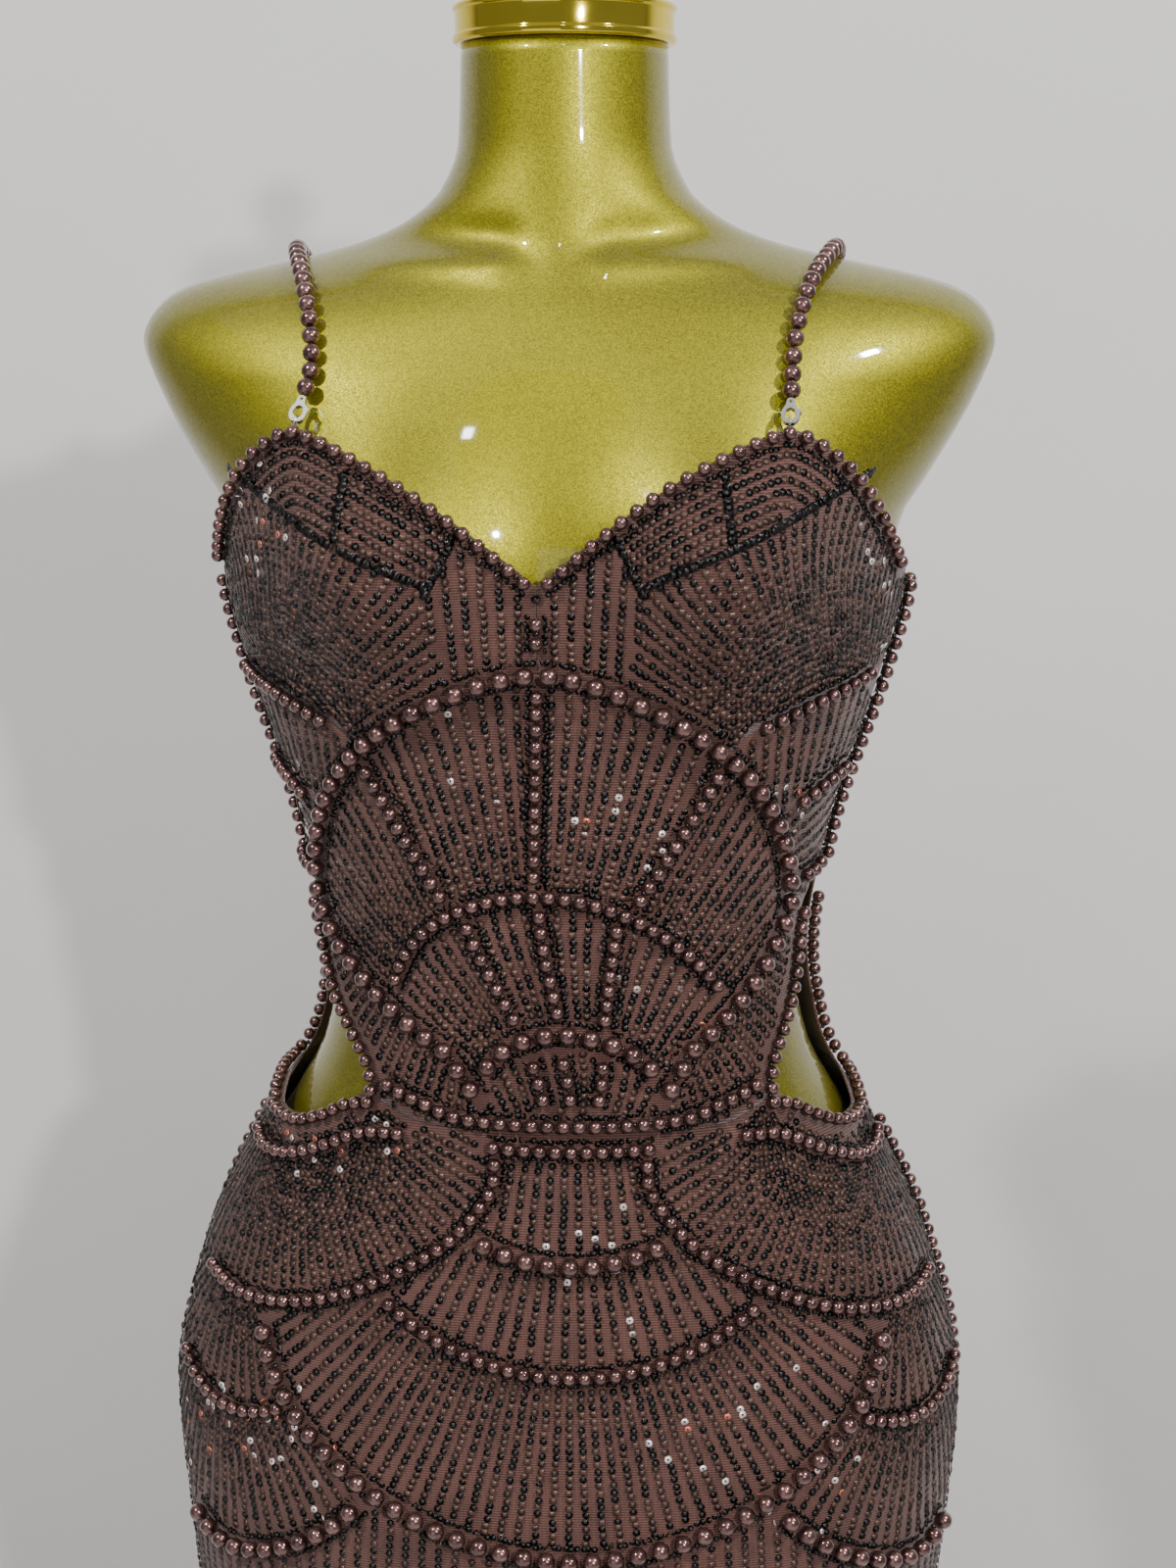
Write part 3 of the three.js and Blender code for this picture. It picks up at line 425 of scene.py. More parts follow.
def sequin_material(name, black, dark, light, painted_glint_white, painted_glint_copper):
    """Two discs in five are near black, the rest clear brown, and in a few noise patches some are painted near white
    or copper as painted glints of the lamps.
    """
    board = Board(name)
    span = board.node("ShaderNodeAttribute", {"attribute_name": "span"}, output="Fac")
    tone = board.node("ShaderNodeAttribute", {"attribute_name": "tone"}, output="Fac")
    disc = span > SEQUIN_HOLE
    # Painted glints: in noise patches, a few discs get a near-white or copper base colour that stands in for a lamp's
    # reflection.
    painted_glint_patch = board.noise(board.place(), 13.0, 1.0).between(0.57, 0.61)
    painted_glint_mask = (tone > 0.93) * painted_glint_patch
    shade = board.mix(tone < 0.4, board.mix(tone.between(0.4, 0.9), dark, light), black)
    shade = board.mix(painted_glint_mask, shade, board.mix(tone > 0.985, painted_glint_white, painted_glint_copper))
    return board.finish(
        Base_Color=board.mix(disc, board.mix(tone.between(0.2, 0.6), black, dark), shade),
        Roughness=0.58 - 0.3 * disc + 0.08 * tone,
        Metallic=0.4 * disc,
        Specular_IOR_Level=0.6,
    )


front_net = net_material("front_net", colour(44, 27, 24), colour(107, 73, 65))
back_net = net_material("back_net", colour(46, 29, 25), colour(104, 71, 63))
# Painted glint colours: near white and copper, put into the base colour of a few sequins as painted highlights.
PAINTED_GLINT_WHITE, PAINTED_GLINT_COPPER = colour(255, 244, 238), colour(214, 122, 100)
sequin_foil = sequin_material("sequin_foil", colour(8, 5, 4), colour(54, 38, 33), colour(92, 66, 57), PAINTED_GLINT_WHITE, PAINTED_GLINT_COPPER)
edging_foil = sequin_material("edging_foil", colour(5, 4, 3), colour(10, 7, 6), colour(26, 19, 17), PAINTED_GLINT_WHITE, PAINTED_GLINT_COPPER)
seed_board = Board("seed_glass")
seed_glass = seed_board.finish(
    Base_Color=seed_board.mix(seed_board.noise(seed_board.place(), 900.0), colour(10, 7, 6), colour(34, 24, 22)),
    Roughness=0.18 + 0.2 * seed_board.noise(seed_board.place(), 1400.0),
    Specular_IOR_Level=0.6,
)
print("cloth and sequin materials:", front_net.name, back_net.name, sequin_foil.name, edging_foil.name)


# %% [markdown]
# ## Pearls and metals
# An imitation pearl is a glass bead dipped in pearl paint: the colour is soft, the gloss is a clear
# layer over it. The form is sprayed with gold flake under lacquer, so its flakes are small cells that
# each take their own shade and roughness, and the clear coat above them is smooth.

# %% Bead and metal materials
def pearl_material():
    board = Board("pearl_paint")
    cloud = board.noise(board.place(), 160.0, 3.0)
    grain = board.noise(board.place(), 1800.0, 2.0)
    return board.finish(
        Base_Color=board.mix(cloud.between(0.3, 0.7), colour(84, 56, 54), colour(124, 90, 86)),
        Roughness=0.2 + 0.12 * cloud,
        Metallic=0.9,
        Coat_Weight=1.0,
        Coat_Roughness=0.04,
        Normal=board.bump(grain, 0.08, 0.0002),
    )


def flake_material():
    board = Board("gold_flake")
    cells = board.node("ShaderNodeTexVoronoi", {"feature": "F1"}, Vector=board.place(), Scale=2400.0, output="Color")
    flake, tilt, _ = board.split(cells)
    cloud = board.noise(board.place(), 7.0, 2.0)
    return board.finish(
        Base_Color=board.mix(0.6 * flake + 0.4 * cloud, colour(88, 83, 8), colour(170, 163, 34)),
        Metallic=0.92,
        Roughness=0.4 + 0.2 * tilt,
        Coat_Weight=1.0,
        Coat_Roughness=0.05,
        Coat_IOR=1.5,
    )


def plate_material(name, dark, light, roughness, scale, metallic=1.0):
    """Polished or brushed plate: a faint cloud in the colour and fine marks in the gloss."""
    board = Board(name)
    cloud = board.noise(board.place(), scale, 4.0)
    marks = board.noise(board.place(), scale * 14, 2.0)
    return board.finish(
        Base_Color=board.mix(cloud, dark, light),
        Metallic=metallic,
        Roughness=roughness + 0.5 * roughness * marks,
        Normal=board.bump(marks, 0.04, 0.0002),
    )


pearl_paint = pearl_material()
gold_flake = flake_material()
gold_plate = plate_material("gold_plate", colour(206, 180, 38), colour(246, 226, 96), 0.06, 20.0)
silver_plate = plate_material("silver_plate", colour(208, 208, 206), colour(244, 244, 242), 0.24, 90.0)
stand_steel = plate_material("stand_steel", colour(150, 148, 142), colour(196, 194, 188), 0.26, 24.0)
print("bead and metal materials:", pearl_paint.name, gold_flake.name, gold_plate.name, silver_plate.name)


# %% [markdown]
# ## From numbers to a mesh
# Blender takes vertices and faces as flat arrays. A panel is a grid of outer points over a grid of
# inner points, closed along its four edges, so that the cloth has a thickness and no open side.

# %% Mesh makers
def make_piece(name, points, faces, material, nodes=(), uv=None, floats=None, smooth=True):
    """Faces are an array of corners; uv has one row a vertex; floats are named vertex attributes."""
    faces = np.asarray(faces, np.int64)
    corners = faces.shape[1]
    mesh = bpy.data.meshes.new(name)
    mesh.vertices.add(len(points))
    mesh.vertices.foreach_set("co", (np.asarray(points) * MM).astype(np.float32).ravel())
    mesh.loops.add(faces.size)
    mesh.loops.foreach_set("vertex_index", faces.ravel().astype(np.int32))
    mesh.polygons.add(len(faces))
    mesh.polygons.foreach_set("loop_start", np.arange(0, faces.size, corners, dtype=np.int32))
    mesh.polygons.foreach_set("use_smooth", np.full(len(faces), smooth))
    for key, values in (floats or {}).items():
        layer = mesh.attributes.new(key, "FLOAT", "POINT")
        layer.data.foreach_set("value", np.asarray(values, np.float32))
    if uv is not None:
        layer = mesh.uv_layers.new(name="cut")
        layer.data.foreach_set("uv", (uv[faces.ravel()] * MM).astype(np.float32).ravel())
    mesh.update(calc_edges=True)
    mesh.validate()
    mesh.materials.append(material)
    piece = bpy.data.objects.new(name, mesh)
    bpy.context.scene.collection.objects.link(piece)
    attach(piece, "root")
    if nodes:
        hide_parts(*nodes)
    return piece


def grid_faces(columns, rows, start=0, turned=False):
    """Corners of the squares of a grid of (columns + 1) × (rows + 1) points, column by column."""
    i, j = np.meshgrid(np.arange(columns), np.arange(rows), indexing="ij")
    a = (start + i * (rows + 1) + j).ravel()
    b = a + rows + 1
    faces = np.stack([a, b, b + 1, a + 1], axis=1)
    return faces[:, ::-1] if turned else faces


def rim_faces(columns, rows):
    """Squares that join the outer grid's edge to the inner grid's edge."""
    layer = (columns + 1) * (rows + 1)
    up = np.arange(rows + 1)
    along = np.arange(columns + 1) * (rows + 1)
    edge = np.concatenate([along, along[-1] + up[1:], along[::-1][1:] + rows, up[::-1][1:-1]])
    after = np.roll(edge, -1)
    return np.stack([edge, edge + layer, after + layer, after], axis=1)


CLOTH_THICKNESS = 1.0


def cloth_panel(name, angle, height, material, nodes):
    """Outer face on the pattern, inner face 1 mm inside it, both from arrays of angle and height."""
    columns, rows = angle.shape[0] - 1, angle.shape[1] - 1
    layers = [gown_point(angle, height, out).reshape(-1, 3) for out in (0.0, -CLOTH_THICKNESS)]
    layer = (columns + 1) * (rows + 1)
    faces = [grid_faces(columns, rows), grid_faces(columns, rows, layer, True), rim_faces(columns, rows)]
    stride = np.linalg.norm(np.diff(gown_point(angle, height), axis=0), axis=-1)
    width = np.concatenate([np.zeros((1, rows + 1)), np.cumsum(stride, axis=0)])
    cut = np.stack([width - width[-1:] / 2, height], axis=-1).reshape(-1, 2)
    piece = make_piece(
        name, np.concatenate(layers), np.concatenate(faces), material, nodes,
        uv=np.concatenate([cut, cut]),
    )
    face = layers[0].reshape(columns + 1, rows + 1, 3)
    one, two = face[1:, 1:] - face[:-1, :-1], face[1:, :-1] - face[:-1, 1:]
    area = np.linalg.norm(np.cross(one, two), axis=-1).sum() / 2 * MM**2
    print(name, 2 * len(np.concatenate(faces)), "triangles, outer face", round(area, 4), "m2, cut",
          round(width[-1].max()), "x", round(float(np.ptp(height))), "mm")
    return piece


# %% [markdown]
# ## The panels of the gown
# Eight pieces of net would be cut for it: here the six that show as cloth. Each panel's columns run
# from its lower edge to its upper edge, and its side edge is a girth that changes with the height, so
# the place of every grid point is found by a few rounds of trying the height again.

# %% Cut the front panels
ROUNDS, STEP = 14, 0.8


def between_edges(side, share, rise, lower, upper):
    """Girth = share × side edge at the height; height = lower + rise × (upper - lower) at the girth."""
    height = lower(0 * share) + rise * (upper(0 * share) - lower(0 * share))
    for _ in range(ROUNDS):
        girth = share * front_edge(side, height)
        low = lower(girth)
        height = (1 - STEP) * height + STEP * (low + rise * (upper(girth) - low))
    return girth, height


def shares(columns, rows):
    """Two grids that go from 0 to 1 across and up."""
    return np.meshgrid(np.linspace(0, 1, columns + 1), np.linspace(0, 1, rows + 1), indexing="ij")


for word, side in (("left", 1), ("right", -1)):
    across, rise = shares(44, 26)
    across = across if side > 0 else across[::-1]
    girth, height = between_edges(side, across, rise, lambda s: underbust(s) + SEAM_GAP / 2, cup_top)
    girth = np.where(across == 0, side * SEAM_GAP / 2, girth)
    cup_piece = cloth_panel(f"net_cup_{word}", angle_at(girth, height), height, front_net, [f"cup_{word}"])

across, rise = shares(96, 44)
side = np.where(across < 0.5, -1, 1)
girth, height = between_edges(
    side, np.abs(2 * across - 1), rise, lambda s: skirt_top(s) + SEAM_GAP / 2, lambda s: underbust(s) - SEAM_GAP / 2
)
midriff_angle = angle_at(girth, height)
midriff_piece = cloth_panel("net_midriff_front", midriff_angle, height, front_net, ["midriff_front"])
waist_angle, waist_height = midriff_angle[:, 0], height[:, 0] - SEAM_GAP

# %% [markdown]
# ## The back and the skirt
# The back is plain. It meets the front at the side seams and runs free along the cut-outs.
# The skirt's columns start where the midriff's end, so that the two share the waist seam, and go on
# below the cut-outs to the skirt's side seams.

# %% Cut the back and the skirt
across, rise = shares(72, 36)
height = WAIST + rise * (BACK_TOP - WAIST)
for _ in range(ROUNDS):
    edge = back_edge_angle(height) + 0.2
    angle = edge + across * (360 - 2 * edge)
    top = back_top(180 - np.abs(180 - angle))
    height = (1 - STEP) * height + STEP * (WAIST + SEAM_GAP / 2 + rise * (top - WAIST))
back_piece = cloth_panel("net_bodice_back", angle, height, back_net, ["bodice_back"])


def skirt_top_at(angle):
    """The skirt's top edge at an angle, found by reading the edge's girth again six times."""
    height = WAIST + 0 * angle
    for _ in range(6):
        height = skirt_top(girth_at(angle, height))
    return height - SEAM_GAP / 2


def hang_skirt(name, angle, top, rows, material, node):
    """Height = hem + (top - hem) × share^0.72, so the rows lie closer at the hips."""
    rise = np.linspace(0, 1, rows + 1) ** 0.72
    height = HEM + (top[:, None] - HEM) * rise
    return cloth_panel(name, np.broadcast_to(angle[:, None], height.shape), height, material, [node])


beside = np.linspace(0, 1, 25)[1:]
left_angle = waist_angle[-1] + beside * (SKIRT_SIDE - 0.05 - waist_angle[-1])
right_angle = waist_angle[0] + beside[::-1] * (-SKIRT_SIDE + 0.05 - waist_angle[0])
front_angle = np.concatenate([right_angle, waist_angle, left_angle])
front_top = np.concatenate([skirt_top_at(right_angle), waist_height, skirt_top_at(left_angle)])
skirt_piece = hang_skirt("net_skirt_front", front_angle, front_top, 84, front_net, "skirt_front")
rear_angle = np.linspace(SKIRT_SIDE + 0.2, 360 - SKIRT_SIDE - 0.2, 121)
rear_top = np.full(121, WAIST - SEAM_GAP / 2)
train_piece = hang_skirt("net_skirt_back", rear_angle, rear_top, 84, back_net, "skirt_back")

# %% [markdown]
# ## Rows of pearls
# Pearls are threaded one by one along a drawn line and sewn down. A line is a list of girths and
# heights, smoothed by a curve through its points. Measured along the cloth, a large pearl comes every
# 10 mm, one of the neckline every 8 mm and a small one every 6.7 mm, with a seed bead between two.
# Arcs need only a centre and two angles.

# %% Draw the rows
def arc(centre, wide, tall, start, end, roundness=2.0):
    """Centre + radius × cos and sin of the turn, each to the power 2 / roundness."""
    turn = np.radians(np.linspace(start, end, 97))
    bent = [np.sign(v) * np.abs(v) ** (2 / roundness) for v in (np.cos(turn), np.sin(turn))]
    return np.stack([centre[0] + wide * bent[0], centre[1] + tall * bent[1]], axis=1)


def through(points):
    """Catmull-Rom: a cubic between each two points, whose slope is half the step across the point."""
    p = np.asarray(points, float)
    p = np.concatenate([2 * p[:1] - p[1:2], p, 2 * p[-1:] - p[-2:-1]])
    t = np.linspace(0, 1, 12, endpoint=False)[None, :, None]
    a, b, c, d = (p[k:len(p) - 3 + k, None] for k in range(4))
    curve = b + 0.5 * t * (c - a + t * (2 * a - 5 * b + 4 * c - d + t * (3 * (b - c) + d - a)))
    return np.concatenate([curve.reshape(-1, p.shape[1]), p[-2:-1]])


def along_edge(edge, start, end, inset):
    """An edge curve from one girth to another, moved down by the inset."""
    girth = np.linspace(start, end, 81)
    return np.stack([girth, edge(girth) - inset], axis=1)


def oval_row():
    """From beside the small fan up one side of the oval, over its top, and down the other side."""
    bend = np.sin(np.linspace(0, np.pi / 2, 61))
    low = 52 + (OVAL["wide"] - 52) * bend
    high = OVAL["wide"] * np.cos(np.linspace(0, np.pi / 2, 61))[1:]
    foot = np.array([[39, 1051], [46, 1061]])
    side = np.concatenate([foot, np.stack([low, oval_bottom(low)], 1), np.stack([high, oval_top(high)], 1)])
    return np.concatenate([side, side[:-1][::-1] * [-1, 1]])


Kind = namedtuple("Kind", "size spacing")
LARGE, EDGE, SMALL = Kind(8.0, 10.0), Kind(6.0, 8.0), Kind(6.0, 6.7)
PAIRED = {
    "neckline": (EDGE, along_edge(cup_top, 2, 193, 2.5)),
    "underbust": (SMALL, along_edge(underbust, 92, 163, -1)),
    "rib_upper": (SMALL, through([[154, 1186], [134, 1181], [115, 1173]])),
    "rib_lower": (SMALL, through([[147, 1143], [136, 1140], [125, 1139]])),
    "oval_spoke": (SMALL, through([[76, 1192], [58, 1162], [40, 1134.5]])),
    "fan_spoke": (SMALL, through([[32, 1127.5], [25, 1105], [18, 1083]])),
    "foot_spoke": (SMALL, through([[15, 1069], [13, 1058], [11, 1048]])),
    "hip_edge": (SMALL, through([[72, 1032], [92, 1030], [112, 1021], [134, 1013], [154, 1011], [170, 1015]])),
    "hip_scallop": (SMALL, through([
        [32, 1026], [33, 1013], [39, 1003], [47, 993], [60, 982], [80, 970], [104, 959], [130, 952], [158, 950],
        [184, 955],
    ])),
    "side_scallop_upper": (SMALL, arc((158, 960), 61, 61, 242, 312)),
    "side_scallop_lower": (LARGE, through([[92, 869], [108, 855], [134, 841], [164, 834], [192, 841]])),
}
CENTRE = {
    "centre_front": (SMALL, through([[0, 1258], [0, 1250], [0, 1242]])),
    "oval_spoke_middle": (SMALL, through([[0, 1227], [-1, 1185], [-2, 1144]])),
    "fan_spoke_middle": (SMALL, through([[0, 1134], [0, 1108], [0, 1086]])),
    "fan_arc": (SMALL, arc((0, 1059), 80, 80, 153, 27)),
    "inner_fan_arc": (LARGE, arc((0, 1048), 40, 32, 156, 24)),
    "foot_spoke_middle": (SMALL, through([[-2, 1071], [-1, 1060], [0, 1048]])),
    "waist_upper": (SMALL, through([
        [-84, 1053], [-73, 1049], [-62, 1046], [-50, 1042], [-28, 1040.5], [0, 1040], [28, 1040.5], [50, 1042],
        [62, 1046], [73, 1049], [84, 1053],
    ])),
    "waist_lower": (SMALL, through([[-36, 1030], [0, 1029], [36, 1030]])),
    "hip_band_upper": (LARGE, arc((0, 1069), 89, 89, 243, 297)),
    "hip_band_lower": (SMALL, arc((0, 1062), 128, 130, 231, 309)),
    "hip_fan": (LARGE, arc((0, 946), 141, 94, 184, 356, 1.8)),
    "oval": (LARGE, oval_row()),
}
MIRROR = np.array([-1, 1])
drawn = dict(CENTRE)
for name, (kind, line) in PAIRED.items():
    drawn[f"{name}_left"] = (kind, line)
    drawn[f"{name}_right"] = (kind, line * MIRROR)
print(len(drawn), "rows drawn on the pattern")

# %% [markdown]
# ## Rows that follow seams and free edges
# Side seams lie at one angle, and a cut-out's row goes down its front edge, along the skirt's top and
# up the back's edge. These are worked out as angle and height at once.

# %% Rows at angles
placed = {name: (kind, angle_at(line[:, 0], line[:, 1]), line[:, 1]) for name, (kind, line) in drawn.items()}
for word, side in (("left", 1), ("right", -1)):
    tall = np.linspace(1265, 1139, 61)
    placed[f"side_seam_{word}"] = (SMALL, np.full(61, side * BODICE_SIDE), tall)
    tall = np.linspace(1010, 846, 61)
    placed[f"hip_seam_{word}"] = (SMALL, np.full(61, side * SKIRT_SIDE), tall)
    down = np.arange(CUTOUT_TOP - CUTOUT_TIP, CUTOUT[0, 0] - 1, -4.0)
    up = np.arange(WAIST + 5, CUTOUT_TOP - CUTOUT_TIP + 1, 4.0)
    front = angle_at(side * (np.abs(front_edge(side, down)) - 3), down)
    floor_angle = np.linspace(angle_at(side * (CUTOUT[0, 1] - 3), CUTOUT[0, 0] - 4), side * (SKIRT_SIDE + 0.5), 10)
    placed[f"cutout_{word}"] = (
        SMALL,
        np.concatenate([front, floor_angle, side * (back_edge_angle(up) + 2)]),
        np.concatenate([down, skirt_top_at(floor_angle) - 3, up]),
    )
round_back = np.arange(BODICE_SIDE + 5, 360 - BODICE_SIDE - 4, 4.0)
placed["back_edge"] = (SMALL, round_back, back_top(180 - np.abs(180 - round_back)) - 3)
print(len(placed), "rows placed on the cloth")

# %% [markdown]
# ## Many beads in one mesh
# A thousand separate pearls would be slow to handle. One pearl of a few dozen faces is worked out as
# an array and copied to all the places of a row at once, by adding the places to its points.

# %% Bead shapes and places
def ball(parts):
    """A cube's six faces, each cut in parts × parts squares, with every point pushed out to radius 1."""
    side = np.tan(np.linspace(-np.pi / 4, np.pi / 4, parts + 1))
    u, v = (grid.ravel() for grid in np.meshgrid(side, side, indexing="ij"))
    sheets = [np.roll(np.stack([np.full_like(u, sign), u, v], 1), axis, 1) for axis in range(3) for sign in (-1, 1)]
    points = unit(np.concatenate(sheets))
    faces = np.concatenate([grid_faces(parts, parts, k * len(u)) for k in range(6)])
    points, index = np.unique(points.round(6), axis=0, return_inverse=True)
    return points, face_out(points, index.ravel()[faces])


def face_out(points, faces):
    """Turns each face whose normal points at the middle."""
    corner = points[faces]
    normal = np.cross(corner[:, 1] - corner[:, 0], corner[:, 2] - corner[:, 1])
    inward = (normal * corner.mean(1)).sum(1) < 0
    return np.where(inward[:, None], faces[:, ::-1], faces)


def copies(shape, centres, size):
    """Every copy's points are centre + size × shape; its faces count on from the copy before."""
    points, faces = shape
    placed_points = centres[:, None] + size * points
    offsets = np.arange(len(centres))[:, None, None] * len(points)
    return placed_points.reshape(-1, 3), (faces + offsets).reshape(-1, faces.shape[1])


def evenly(line, spacing, between=False):
    """Places in the middle of equal steps along a line, or with between, where two steps meet."""
    stride = np.linalg.norm(np.diff(line, axis=0), axis=1)
    length = np.concatenate([[0], np.cumsum(stride)])
    count = max(1, round(length[-1] / spacing))
    at = (np.arange(count - between) + 0.5 * (1 + between)) * length[-1] / count
    return np.stack([np.interp(at, length, line[:, k]) for k in range(line.shape[1])], axis=1)


CLEAR = 0.3
pearl_ball, seed_ball = ball(3), ball(2)
seed_places, pearl_count = [], 0
for name, (kind, angle, height) in placed.items():
    places = evenly(gown_point(angle, height, CLEAR + kind.size / 2), kind.spacing)
    print(name, len(places), "pearls on", round(float(len(places) * kind.spacing)), "mm of thread")
    points, faces = copies(pearl_ball, places, kind.size / 2)
    make_piece(f"beads_{name}", points, faces, pearl_paint, [f"pearls_{name}"])
    seed_places.append(evenly(gown_point(angle, height, 1.5), kind.spacing, True))
    pearl_count += len(places)
points, faces = copies(seed_ball, np.concatenate(seed_places), 1.15)
make_piece("seed_beads", points, faces, seed_glass)
print(pearl_count, "pearls and", sum(map(len, seed_places)), "seed beads")

# %% [markdown]
# ## Sequins as tiny dishes
# A flat disc with a hole would shine all at once. A real sequin is slightly cupped and each lies at
# its own tilt, which is what makes a beaded gown glitter. So each one is a rim of eight points round
# a lower middle, closed below, with a small random tilt from a seeded generator.

# %% Sequin maker
rng = np.random.default_rng(17)


def lay_sequins(name, girth, height, angle=None, sides=8, size=1.7, tilt=0.16, material=sequin_foil, lift=0.75):
    """Rim point = centre + size × (cos × u + sin × v), where u and v cross the tilted normal."""
    angle = angle_at(girth, height) if angle is None else angle
    normal = gown_normal(angle, height)
    centre = gown_point(angle, height, lift)
    lean = rng.normal(0, tilt, (len(centre), 3))
    normal = unit(normal + lean)
    u = unit(np.cross(normal, [0.0, 0.3, 1.0]))
    v = np.cross(normal, u)
    turn = (np.arange(sides) / sides)[None, :, None] * 2 * np.pi + rng.uniform(0, 1, len(centre))[:, None, None]
    rim = centre[:, None] + size * (np.cos(turn) * u[:, None] + np.sin(turn) * v[:, None])
    middle = np.stack([centre - 0.18 * normal, centre - 0.5 * normal], axis=1)
    points = np.concatenate([rim, middle], axis=1)
    k = np.arange(sides)
    top = np.stack([k, (k + 1) % sides, np.full(sides, sides)], 1)
    below = np.stack([(k + 1) % sides, k, np.full(sides, sides + 1)], 1)
    faces = np.concatenate([top, below]) + np.arange(len(centre))[:, None, None] * (sides + 2)
    span = np.tile(np.concatenate([np.ones(sides), np.zeros(2)]), len(centre))
    tone = np.repeat(rng.uniform(0, 1, len(centre)), sides + 2)
    made = make_piece(
        name, points.reshape(-1, 3), faces.reshape(-1, 3), material, floats={"span": span, "tone": tone}
    )
    print(name, len(centre), "sequins,", len(faces.reshape(-1, 3)), "triangles")
    return made


# %% [markdown]
# ## Which fan a sequin belongs to
# Each pearl row closes a cell of the pattern, and in each cell the sequin lines fan out from one
# centre. A cell is a test on girth and height, true inside it. Sequins keep clear of the pearls by
# their distance from every row.

# %% Cells of the pattern
row_points = []
for kind, angle, height in placed.values():
    spots = evenly(np.stack([girth_at(angle, height), height], 1), 2.0)
    row_points.append(np.column_stack([spots, np.full(len(spots), kind.size / 2)]))
row_points = np.concatenate(row_points)


def clear_of_rows(girth, height, room=1.7):
    """The distance to the nearest point of any row is more than its pearl's radius and the room."""
    free = np.ones(len(girth), bool)
    for part in np.array_split(np.arange(len(girth)), max(1, len(girth) // 2000)):
        away = np.hypot(girth[part, None] - row_points[:, 0], height[part, None] - row_points[:, 1])
        free[part] = (away - row_points[:, 2]).min(1) > room
    return free


def in_oval(s, z):
    away = np.abs(s)
    floor = np.where(away < 52, np.interp(away, [38, 39, 46, 52], [1045, 1051, 1061, 1071]), oval_bottom(s))
    return (away < OVAL["wide"]) & (z < oval_top(s)) & (z > floor)


def in_foot(s, z):
    """Under the innermost arc: (s / 40)² + (rise / 32)² below 1."""
    return np.hypot(s / 40, (z - 1048) / 32) < 1


def scallop(s):
    """The height of the row that closes the side fans on the hips."""
    line = PAIRED["hip_scallop"][1]
    return np.interp(np.abs(s), line[:, 0], line[:, 1])


def in_hip_fan(s, z):
    low = np.clip((946 - z) / 94, 0, None)
    return (np.abs(s / 141) ** 1.8 + low**1.8 < 1) & (z < scallop(s))


def low_scallop(s):
    line = PAIRED["side_scallop_lower"][1]
    return np.interp(np.abs(s), line[:, 0], line[:, 1])


def band_edge(s):
    """The lower edge of the band along the neckline."""
    return 1250 + 0.43 * np.abs(s)


def cup_middle(s, z):
    """Between the two slanted lines beside the V."""
    return np.abs(s) < np.where(z < 1265, 38 + 0.27 * (z - 1231), 47 - 0.6 * (z - 1265))


def on_cup(s, z):
    return (z > underbust(s) + 2) & (z < cup_top(s) - 5) & (np.abs(s) < np.abs(front_edge(1, z)) - 4)


def beside_oval(s, z):
    edge = (np.abs(s) < np.abs(front_edge(1, z)) - 4) & (z > skirt_top(s) + 2)
    return ~in_oval(s, z) & (z < underbust(s) - 2) & edge & (np.abs(s) > 40)


def rib(s, height, rise):
    return height + rise * (np.abs(s) - 120)


HALF_CIRCLE, WHOLE_CIRCLE = (0, 180), (0, 360)
fans = {
    "oval_upper": ((0, 1045), 195, WHOLE_CIRCLE, lambda s, z: in_oval(s, z) & (np.hypot(s, z - 1059) > 80)),
    "oval_lower": ((0, 1030), 120, WHOLE_CIRCLE, lambda s, z: in_oval(s, z) & (np.hypot(s, z - 1059) < 80)
                   & ~in_foot(s, z)),
    "oval_foot": ((0, 985), 110, HALF_CIRCLE, lambda s, z: in_oval(s, z) & in_foot(s, z)),
    "cup_main": ((135, 1172), 165, HALF_CIRCLE, lambda s, z: on_cup(s, z) & ~cup_middle(s, z) & (z < band_edge(s) - 2)
                 & (s > 0)),
    "cup_middle": ((0, 900), 400, HALF_CIRCLE, lambda s, z: on_cup(s, z) & cup_middle(s, z) & (s > 0)),
    "side_upper": (
        (104, 1060), 170, HALF_CIRCLE, lambda s, z: beside_oval(s, z) & (z > rib(s, 1176, 0.33)) & (s > 0),
    ),
    "side_middle": ((30, 1128), 150, WHOLE_CIRCLE, lambda s, z: beside_oval(s, z) & (z < rib(s, 1176, 0.33))
                    & (z > rib(s, 1138, 0.3)) & (s > 0)),
    "side_lower": ((15, 1165), 190, WHOLE_CIRCLE, lambda s, z: beside_oval(s, z) & (z < rib(s, 1138, 0.3)) & (s > 0)),
    "hip_middle": ((0, 1150), 185, WHOLE_CIRCLE, lambda s, z: (np.hypot(s, z - 1069) < 89) & (z < scallop(s))
                   & (np.abs(s) < 54)),
    "hip_band": ((0, 1066), 132, WHOLE_CIRCLE, lambda s, z: (np.hypot(s, z - 1069) > 89) & (z < scallop(s))
                 & (np.hypot(s / 128, (z - 1062) / 130) < 1)),
    "hip_fan": ((0, 1040), 196, WHOLE_CIRCLE, lambda s, z: in_hip_fan(s, z)
                & (np.hypot(s / 128, (z - 1062) / 130) > 1)),
    "hip_side": ((132, 1064), 150, WHOLE_CIRCLE, lambda s, z: (z > scallop(s)) & (s > 32) & (z < skirt_top(s) - 2.5)),
    "side_fan": ((158, 982), 90, WHOLE_CIRCLE, lambda s, z: ~in_hip_fan(s, z) & (z < scallop(s))
                 & (np.hypot(s - 158, z - 960) < 61) & (s > 60)),
    "side_low_fan": ((165, 948), 112, WHOLE_CIRCLE, lambda s, z: ~in_hip_fan(s, z) & (z < scallop(s))
                     & (np.hypot(s - 158, z - 960) > 61) & (z > low_scallop(s)) & (s > 92)),
}
PITCH, LINE_GAP, LEAST_GAP = 3.15, 8.0, 2.6


